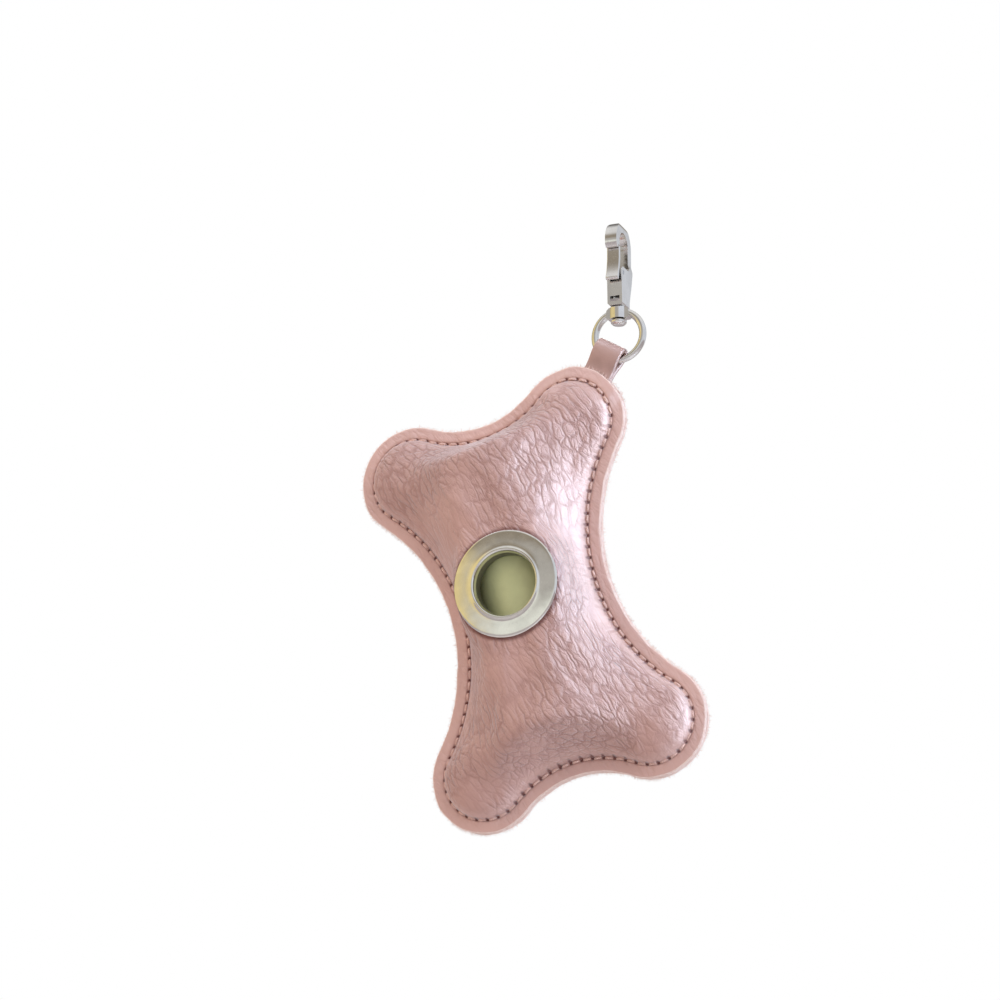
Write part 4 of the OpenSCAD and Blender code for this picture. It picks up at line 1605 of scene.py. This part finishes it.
    def fibre(self) -> bpy.types.Object:
        """One bent, pointed fibre, open at its foot.

        Returns:
            The fibre, to be repeated.
        """
        sides = 4
        points, faces = [], []
        for j, (lean, high, r) in enumerate(self.fibre_rings):
            for i in range(sides):
                a = 2 * math.pi / sides * i
                points.append((lean + r * math.cos(a), r * math.sin(a), high))
                if j:
                    n, low, top = (i + 1) % sides, (j - 1) * sides, j * sides
                    faces.append((low + i, low + n, top + n, top + i))
        return mesh_object("fibre_model", np.array(points) * MM, faces, (self.finishes.edge,))

    def fuzz(self) -> None:
        """Sets short pale fibres on the raw edges."""
        fibre = self.fibre()
        repeater = Repeater("fibre_row", fibre, self.finishes.edge)
        edge = BONE.whole(BONE.outline(self.fine_steps, 0.0))
        out = edge - BONE.whole(BONE.outline(self.fine_steps, 1.0))
        outward = np.stack([out[:, 0], np.zeros(len(out)), out[:, 1]], -1)
        tops = (BONE.place(outward) - BONE.place(np.zeros(3))) / MM
        under = BONE.strap_lift(edge[:, 0], edge[:, 1])
        for side in Side:
            for row, (count, height) in enumerate(zip(self.fibres, self.fibre_heights)):
                path = np.stack([edge[:, 0], side.value * (under + height), edge[:, 1]], -1)
                name = f"edge_fibres_{side.name.lower()}_{row}"
                obj = repeater.along(name, BONE.place(path), tops, count, jitter=3.1, least=0.25)
                finish(obj, "pouch", "leather")
        remove(fibre)

    def seams(self) -> None:
        """Sets the stitches on both faces."""
        stitch = self.stitch()
        repeater = Repeater("stitch_row", stitch, self.finishes.thread)
        fine = BONE.whole(BONE.outline(self.fine_steps, self.stitch_inset))
        x, z = fine[:, 0], fine[:, 1]
        for side in Side:
            under = np.maximum(BONE.rise(x, z, side), BONE.strap_lift(x, z))
            path = np.stack([x, side.value * (under + BONE.leather_t - self.stitch_sunk), z], -1)
            tops = np.tile((0.0, float(side.value), 0.0), (len(path), 1))
            obj = repeater.along(f"seam_stitches_{side.name.lower()}", BONE.place(path), tops, self.stitches,
                                 slant=0.06)
            finish(obj, "pouch", "leather")
        remove(stitch)

    def build(self) -> None:
        """Builds both panels, their stitches and the fibres on their edges."""
        for side in Side:
            self.panel(side)
        self.seams()
        self.fuzz()


# Eyelet and roll of bags


def lathe(name: str, profile: Sequence[tuple[float, float]], count: int, material: bpy.types.Material,
          place: Callable[[np.ndarray], np.ndarray]) -> bpy.types.Object:
    """Turns a closed profile of radius and height round the Y axis.

    Args:
        name: the object's name.
        profile: radius and height, in mm, going round the section.
        count: steps round the axis.
        material: its finish.
        place: puts the points in the row frame.

    Returns:
        The new object.
    """
    points, faces = [], []
    m = len(profile)
    for i in range(count):
        a = 2 * math.pi * i / count
        for r, h in profile:
            points.append((r * math.cos(a), h, r * math.sin(a)))
    for i in range(count):
        n = (i + 1) % count
        for j in range(m):
            k = (j + 1) % m
            faces.append((i * m + j, i * m + k, n * m + k, n * m + j))
    return merge(mesh_object(name, place(np.array(points)), faces, (material,)))


@dataclass
class Eyelet:
    """Two-part curtain eyelet: bead, dished flange, raised throat and the rolled end inside."""

    finishes: Finishes
    outer: float = BONE.eyelet_r
    throat: float = 8.0
    wall: float = 0.6
    bead: float = 1.35
    depth: float = 2.9

    def profile(self) -> list[tuple[float, float]]:
        """Section of the front half, radius and height above the leather.

        Returns:
            The points, going round the section, in mm.
        """
        out, r, b, deep = self.outer, self.throat, self.bead, -self.depth
        tube = r + self.wall
        bead = [(out - 0.12, 0.0), (out, 0.12), (out, b * 0.3), (out - 0.05, b * 0.44),
                (out - 0.16, b * 0.55), (out - 0.34, b * 0.62), (out - 0.6, b * 0.66), (out - 1.0, b * 0.7)]
        flange = [(out - 1.7, b * 0.76), (out - 2.4, b * 0.81), (out - 3.2, b * 0.86), (out - 4.0, b * 0.9)]
        rim = [(r + 1.5, b * 0.96), (r + 1.25, b * 1.08), (r + 1.0, b * 1.17), (r + 0.76, b * 1.15),
               (r + 0.56, b * 1.03), (r + 0.4, b * 0.8), (r + 0.26, b * 0.48), (r + 0.13, b * 0.1),
               (r + 0.05, b * -0.35), (r, -1.2)]
        roll = [(r, deep + 0.4), (r + 0.1, deep + 0.14), (r + 0.32, deep + 0.02), (tube + 0.7, deep),
                (tube + 1.02, deep + 0.1), (tube + 1.2, deep + 0.32), (tube + 1.2, deep + 0.9),
                (tube, deep + 0.9)]
        return [(tube, 0.0), *bead, *flange, *rim, *roll]

    def shade_throat(self, obj: bpy.types.Object) -> None:
        """Gives the faces inside the throat a dark plate, as painted shade.

        Args:
            obj: the eyelet.
        """
        obj.data.materials.append(self.finishes.throat)
        axis = BONE.place(np.zeros(3))
        for face in obj.data.polygons:
            off = face.center - Vector(axis)
            radius = math.hypot(off.x, off.z) / MM
            height = -off.y / MM - BONE.front_h
            if radius < self.throat + 0.3 and -self.depth + 0.2 < height < 0.3:
                face.material_index = 1

    @staticmethod
    def on_front(points: np.ndarray) -> np.ndarray:
        """Sets points of the eyelet, its axis along Y, on the front panel.

        Args:
            points: points round the Y axis, in mm.

        Returns:
            The points in the row frame.
        """
        moved = points.copy()
        moved[:, 1] = -BONE.front_h - points[:, 1]
        return BONE.place(moved)

    def build(self) -> None:
        """Builds the eyelet and dresses the washer behind it."""
        obj = lathe("eyelet_front", self.profile(), 160, self.finishes.eyelet, self.on_front)
        smooth_by_angle(obj, 55)
        self.shade_throat(obj)
        finish(obj, "pouch", "nickel", "eyelet")
        dress("eyelet_washer", self.finishes.steel)


@dataclass
class BagRoll:
    """The wound roll: film with faint ripples, the loose end's step, and spiral ends."""

    finishes: Finishes
    radius: float = 14.0
    length: float = BONE.roll_len
    core: float = 6.0
    around: int = 144
    along: int = 60
    turns: int = 18
    corner_w: float = 1.2
    corner_in: float = 0.5
    film_in: float = 0.18
    end_step: float = 0.144
    ripple: float = 0.05
    rim_in: float = 0.7
    bore_play: float = 0.02
    spiral: float = 0.25
    sunk: float = 0.16

    def side_points(self) -> list[tuple[float, float, float]]:
        """Points of the round side, ring by ring from the foot.

        Returns:
            The points, in mm.
        """
        half = self.length / 2
        points = []
        for j in range(self.along + 1):
            z = -half + self.length * j / self.along
            end = min(1.0, (half - abs(z)) / self.corner_w)
            corner = self.corner_in * (1 - math.sqrt(max(0.0, 1 - (1 - end) ** 2)))
            for i in range(self.around):
                a = 2 * math.pi * i / self.around
                ripple = self.ripple * noise.noise((z * 0.5, math.cos(a) * 3, math.sin(a) * 3))
                r = self.radius - self.film_in + self.end_step * i / self.around + ripple - corner
                points.append((r * math.cos(a), r * math.sin(a), z))
        return points

    def end_ring(self, k: int, sign: int) -> list[tuple[float, float, float]]:
        """One ring of a wound end, counted from the rim; every second one lies a little deeper.

        Args:
            k: the ring's number, from 1 at the rim to the last at the core.
            sign: 1 for the upper end and -1 for the lower one.

        Returns:
            Its points, in mm.
        """
        rim = self.radius - self.rim_in
        r = rim - (rim - self.core - self.bore_play) * k / self.turns
        last = k == self.turns
        z = self.length / 2 - (self.sunk if k % 2 and not last else 0.0)
        points = []
        for i in range(self.around):
            a = 2 * math.pi * i / self.around
            wound = r + (0.0 if last else self.spiral * i / self.around)
            points.append((wound * math.cos(a), wound * math.sin(a), sign * z))
        return points

    def build(self) -> None:
        """Builds the roll round its core."""
        points, faces = self.side_points(), []
        pairs = [(i, (i + 1) % self.around) for i in range(self.around)]
        for low in range(0, self.along * self.around, self.around):
            high = low + self.around
            faces.extend((low + i, low + n, high + n, high + i) for i, n in pairs)
        bore = []
        for sign, previous in ((-1, 0), (1, self.along * self.around)):
            for k in range(1, self.turns + 1):
                start = len(points)
                points.extend(self.end_ring(k, sign))
                for i, n in pairs:
                    faces.append((previous + i, previous + n, start + n, start + i)[::sign])
                previous = start
            bore.append(previous)
        low, high = bore
        faces.extend((low + i, high + i, high + n, low + n) for i, n in pairs)
        obj = mesh_object("wound_bags", BONE.place(np.array(points)), faces, (self.finishes.film,))
        merge(obj)
        smooth_by_angle(obj, 45)
        finish(obj, "roll", "bag_film", "bag_roll")
        dress("roll_core", self.finishes.card)


# Strap


@dataclass
class TabStrap:
    """One leather strap, folded round the ring and sewn in at the lobe, in mm."""

    finishes: Finishes
    width: float = BONE.strap_w
    thick: float = BONE.strap_t
    edge_r: float = 0.35
    ring_r: float = 6.6
    wire_r: float = 0.95
    wire_play: float = 0.3
    loop_in: float = 1.25
    bend_s: float = 9.8
    bend_half: float = 1.4
    joined_s: float = 10.6
    end_s: float = 19.6

    def centre_line(self) -> np.ndarray:
        """Points of the strap's middle line, from one sewn end round the ring's wire to the other.

        Returns:
            The x, y, z points in the strap's frame, in mm.
        """
        mid = self.loop_in + self.thick / 2
        reach = math.sqrt((self.ring_r - self.wire_r) ** 2 - (self.width / 2) ** 2)
        fold = reach - self.wire_play + self.loop_in
        joined = self.thick / 2 + 0.01
        side = [(joined, -float(s)) for s in np.linspace(self.end_s, self.joined_s, 12)]
        for t in np.linspace(0.1, 1, 12):
            s = self.joined_s - (self.joined_s - fold - 0.3) * t
            side.append((joined + (mid - joined) * float(smooth(t)), -float(s)))
        arc = [(mid * math.cos(a), -fold + mid * math.sin(a)) for a in np.linspace(0.06, math.pi - 0.06, 22)]
        other = [(-y, z) for y, z in reversed(side)]
        return np.array([(0.0, y, z) for y, z in side + arc + other])

    def section(self) -> list[tuple[float, float]]:
        """The strap's section with its rounded edges, across its width and its thickness.

        Returns:
            The points, in mm.
        """
        r = self.edge_r
        x, y = self.width / 2 - r, self.thick / 2 - r
        points = []
        for cx, cy, start in ((x, y, 0), (-x, y, 90), (-x, -y, 180), (x, -y, 270)):
            for k in range(4):
                a = math.radians(start + 30 * k)
                points.append((cx + r * math.cos(a), cy + r * math.sin(a)))
        return points

    def build(self) -> None:
        """Builds the strap and bends it between the tab and the pouch."""
        line, section = self.centre_line(), self.section()
        tangent = np.gradient(line, axis=0)
        tangent /= np.linalg.norm(tangent, axis=1)[:, None]
        normal = np.cross((1.0, 0.0, 0.0), tangent)
        points = [p + np.array((x, 0.0, 0.0)) + n * y for p, n in zip(line, normal) for x, y in section]
        faces = tube_faces(len(line), len(section))
        obj = mesh_object("folded_strap", BONE.place_strap(np.array(points)), faces, (self.finishes.strap,))
        merge(obj, 1e-7)
        smooth_by_angle(obj, 60)
        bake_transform(obj)
        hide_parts("tab_loop", "tab_root")
        log.info("%s bends between tab and pouch", obj.name)


# Zipper and snap


@dataclass
class Zipper:
    """Tapes, teeth, stops, slider and puller in the back panel's window, with their rounding in mm."""

    finishes: Finishes
    tooth_round: float = 0.09
    stop_round: float = 0.18
    slider_round: float = 0.16
    puller_round: float = 0.18

    def build(self) -> None:
        """Dresses the tapes, and rounds the teeth, the stops, the slider and the puller."""
        nickel = self.finishes.nickel
        for hand in ("left", "right"):
            dress(f"zipper_tape_{hand}", self.finishes.tape)
            polished(f"zipper_teeth_{hand}", f"metal_teeth_{hand}", nickel, self.tooth_round, "pouch",
                     "nickel", 1)
        polished("zipper_top_stops", "top_stops", nickel, self.stop_round, "pouch", "nickel")
        polished("zipper_bottom_stop", "bottom_stop", nickel, self.stop_round, "pouch", "nickel")
        polished("zipper_slider", "slider_shell", nickel, self.slider_round, "slider", "nickel")
        polished("zipper_puller", "puller_tab", nickel, self.puller_round, "puller", "nickel")


@dataclass
class TriggerSnap:
    """Cast snap with its gate, pin, spring, rivet and swivel ring, with their rounding in mm."""

    finishes: Finishes
    hook_round: float = 0.32
    gate_round: float = 0.2
    rivet_round: float = 0.12
    ring_round: float = 0.3
    head: float = 1.35

    def shade_head(self, rivet: bpy.types.Object) -> None:
        """Gives the rivet's head, deep in its window, a near-black plate, as painted shade.

        Args:
            rivet: the rivet.
        """
        rivet.data.materials.append(self.finishes.recess_shade)
        top = max(vertex.co.z for vertex in rivet.data.vertices)
        for face in rivet.data.polygons:
            if face.center.z > top - self.head * MM:
                face.material_index = 1

    def build(self) -> None:
        """Rounds the cast pieces and dresses the small ones."""
        nickel = self.finishes.nickel
        polished("snap_body", "cast_hook", nickel, self.hook_round, "snap", "nickel")
        polished("gate_lever", "sprung_gate", nickel, self.gate_round, "gate", "nickel")
        rivet = polished("swivel_rivet", "swivel_knob", nickel, self.rivet_round, "snap", "nickel")
        self.shade_head(rivet)
        polished("swivel_ring", "ring_eye", nickel, self.ring_round, "ring", "nickel")
        dress("lever_pin", self.finishes.steel)
        dress("lever_spring", self.finishes.steel)


# Studio


@dataclass(frozen=True)
class SoftLamp:
    """A round soft lamp that faces the pouch.

    Its place is in degrees round from the front to the right, in degrees of height and in metres away, its
    size in metres and its power in watts. It leaves out the pieces whose names or finishes hold one of the
    spared words, so that bright metal doesn't mirror it. A gloss-only lamp is there for the highlights.
    """

    name: str
    azimuth: float
    elevation: float
    distance: float
    size: float
    power: float
    colour: RGB
    spared: tuple[str, ...] = ("plate", "steel")
    gloss_only: bool = False


LAMPS = (
    SoftLamp("window", 93, 8, 0.66, 0.72, 39.0, (0.6, 0.79, 1.0), ("plate", "steel", "back"), True),
    SoftLamp("skylight", -40, 62, 0.8, 0.5, 9.0, (0.75, 0.84, 1.0), gloss_only=True),
    SoftLamp("key", 60, 25, 0.7, 0.7, 2.6, (0.92, 0.95, 1.0)),
    SoftLamp("fill", -50, 28, 0.8, 0.6, 1.6, (1.0, 0.86, 0.76)),
    SoftLamp("rim", 108, 4, 0.7, 0.5, 2.4, (0.66, 0.82, 1.0)),
    SoftLamp("back", 200, 35, 0.7, 0.4, 2.6, (1.0, 1.0, 1.0)),
)


@dataclass
class Studio:
    """Plain pale floor, soft lamps and the camera at the photo's angle."""

    azimuth: float = 21.7
    elevation: float = -15.1
    distance: float = 0.75
    view_width: float = 0.2586
    centre_px: tuple[float, float] = (530.3, 598.3)
    middle_px: float = 500.0
    px_per_m: float = 3867.0
    lamps_face: tuple[float, float, float] = (-0.02, 0.0, -0.08)
    floor_half: float = 6.0
    floor_z: float = -0.6

    @staticmethod
    def toward(azimuth: float, elevation: float) -> Vector:
        """The direction from the pouch to a place round it, given in degrees."""
        a, e = math.radians(azimuth), math.radians(elevation)
        return Vector((math.sin(a) * math.cos(e), -math.cos(a) * math.cos(e), math.sin(e)))

    def camera(self) -> None:
        """Sets the camera so that the bone's middle falls where the photo has it."""
        a = math.radians(self.azimuth)
        back = self.toward(self.azimuth, self.elevation)
        right = Vector((math.cos(a), math.sin(a), 0.0))
        up = back.cross(right)
        middle = Vector((BONE.centre[0] * MM, 0.0, BONE.centre[1] * MM))
        target = (middle + right * ((self.middle_px - self.centre_px[0]) / self.px_per_m)
                  + up * ((self.centre_px[1] - self.middle_px) / self.px_per_m))
        data = bpy.data.cameras.new("camera")
        data.sensor_width = 36.0
        data.lens = data.sensor_width * self.distance / self.view_width
        data.clip_start = 0.01
        data.clip_end = 20.0
        camera = bpy.data.objects.new("camera", data)
        bpy.context.scene.collection.objects.link(camera)
        camera.location = target + back * self.distance
        camera.rotation_euler = Matrix((right, up, back)).transposed().to_euler()
        bpy.context.scene.camera = camera

    def lamp(self, rule: SoftLamp, spare: bpy.types.Collection) -> None:
        """Adds one soft lamp, with the pieces that it leaves out.

        Args:
            rule: the lamp's values.
            spare: the pieces that it leaves out.
        """
        data = bpy.data.lights.new(rule.name, "AREA")
        data.shape = "DISK"
        data.size = rule.size
        data.energy = rule.power
        data.color = rule.colour
        lamp = bpy.data.objects.new(rule.name, data)
        bpy.context.scene.collection.objects.link(lamp)
        away = self.toward(rule.azimuth, rule.elevation)
        lamp.location = Vector(self.lamps_face) + away * rule.distance
        lamp.rotation_euler = away.to_track_quat("Z", "Y").to_euler()
        lamp.light_linking.receiver_collection = spare
        lamp.visible_diffuse = not rule.gloss_only

    def world(self) -> None:
        """A pale surround: white to the camera, even for light, and a room of soft bands for reflections."""
        world = bpy.data.worlds.new("surround")
        bpy.context.scene.world = world
        world.use_nodes = True
        s = Shade(world.node_tree)
        path = s.add("ShaderNodeLightPath")
        split = s.add("ShaderNodeSeparateXYZ", {0: s.add("ShaderNodeTexCoord").outputs["Generated"]})
        x, y, z = split.outputs[0], split.outputs[1], split.outputs[2]
        brown = s.math("MULTIPLY", s.remap(z, 0.3, 0.46), s.remap(x, -0.7, -0.5))
        pale = s.math("MULTIPLY", s.remap(z, 0.2, 0.06, 0.0, 1.0), s.remap(x, -0.6, -0.36))
        cool = s.remap(x, 0.05, 0.45)
        ceiling = s.remap(z, 0.58, 0.85)
        ground = s.math("MULTIPLY", s.remap(z, -0.5, -0.12, 1.0, 0.0), 0.75)
        dark = s.math("MULTIPLY", s.remap(y, 0.05, 0.5), s.remap(x, 0.05, -0.4))
        behind = s.math("MULTIPLY", dark, 0.85)
        room = s.mix(s.remap(x, -0.6, -0.38), linear(255, 234, 174), linear(196, 193, 190))
        for mask, colour in ((brown, (164, 154, 140)), (pale, (252, 255, 250)), (cool, (236, 242, 255)),
                             (ceiling, (250, 250, 252)), (ground, (120, 100, 84)), (behind, (52, 44, 40))):
            room = s.mix(mask, room, linear(*colour))
        even = s.mix(s.remap(x, -0.8, 0.8), linear(240, 214, 192), linear(206, 212, 240))
        tone = s.mix(path.outputs["Is Glossy Ray"], even, room)
        strength = s.math("ADD", 0.8, s.math("MULTIPLY", path.outputs["Is Glossy Ray"], 0.12))
        light = s.add("ShaderNodeBackground", {"Color": tone, "Strength": strength})
        white = s.add("ShaderNodeBackground", {"Color": (1.0, 1.0, 1.0, 1.0), "Strength": 1.0})
        blend = s.add("ShaderNodeMixShader", {0: path.outputs["Is Camera Ray"], 1: light.outputs[0],
                                              2: white.outputs[0]})
        s.add("ShaderNodeOutputWorld", {0: blend.outputs[0]})

    def floor(self) -> None:
        """A plain pale floor well below the pouch."""
        material, s, bsdf, _ = begin("pale_floor")
        path = s.add("ShaderNodeLightPath")
        glow = s.add("ShaderNodeEmission", {"Color": (1.0, 1.0, 1.0, 1.0), "Strength": 1.0})
        blend = s.add("ShaderNodeMixShader", {0: path.outputs["Is Camera Ray"], 1: bsdf.outputs[0],
                                              2: glow.outputs[0]})
        out = next(n for n in s.tree.nodes if n.type == "OUTPUT_MATERIAL")
        s.tree.links.new(blend.outputs[0], out.inputs[0])
        wire(s, bsdf, Base_Color=(0.8, 0.8, 0.8), Roughness=0.9)
        half, z = self.floor_half, self.floor_z
        corners = np.array([(-half, -half, z), (half, -half, z), (half, half, z), (-half, half, z)])
        obj = mesh_object("floor", corners, [(0, 1, 2, 3)], (material,))

    @staticmethod
    def left_out(*words: str) -> bpy.types.Collection:
        """The pieces that a lamp leaves out, by words in their own or their finishes' names.

        Args:
            words: words in the pieces' or their finishes' names.

        Returns:
            The pieces, as a collection.
        """
        group = bpy.data.collections.new("left_out")
        for obj in bpy.context.scene.objects:
            names = [obj.name] + [slot.material.name for slot in obj.material_slots if slot.material]
            if obj.type == "MESH" and any(word in name for word in words for name in names):
                group.objects.link(obj)
        for member in group.collection_objects:
            member.light_linking.link_state = "EXCLUDE"
        return group

    def build(self) -> None:
        """Sets up the whole studio."""
        self.camera()
        self.world()
        self.floor()
        spares = {words: self.left_out(*words) for words in dict.fromkeys(rule.spared for rule in LAMPS)}
        for rule in LAMPS:
            self.lamp(rule, spares[rule.spared])
        bpy.context.scene.view_settings.view_transform = "Standard"


def main() -> None:
    """Builds every piece, then the studio."""
    logging.basicConfig(level=logging.INFO, format="%(name)s: %(message)s")
    finishes = Finishes()
    LeatherPanels(finishes).build()
    Eyelet(finishes).build()
    BagRoll(finishes).build()
    TabStrap(finishes).build()
    Zipper(finishes).build()
    TriggerSnap(finishes).build()
    Studio().build()


if __name__ == "__main__":
    main()
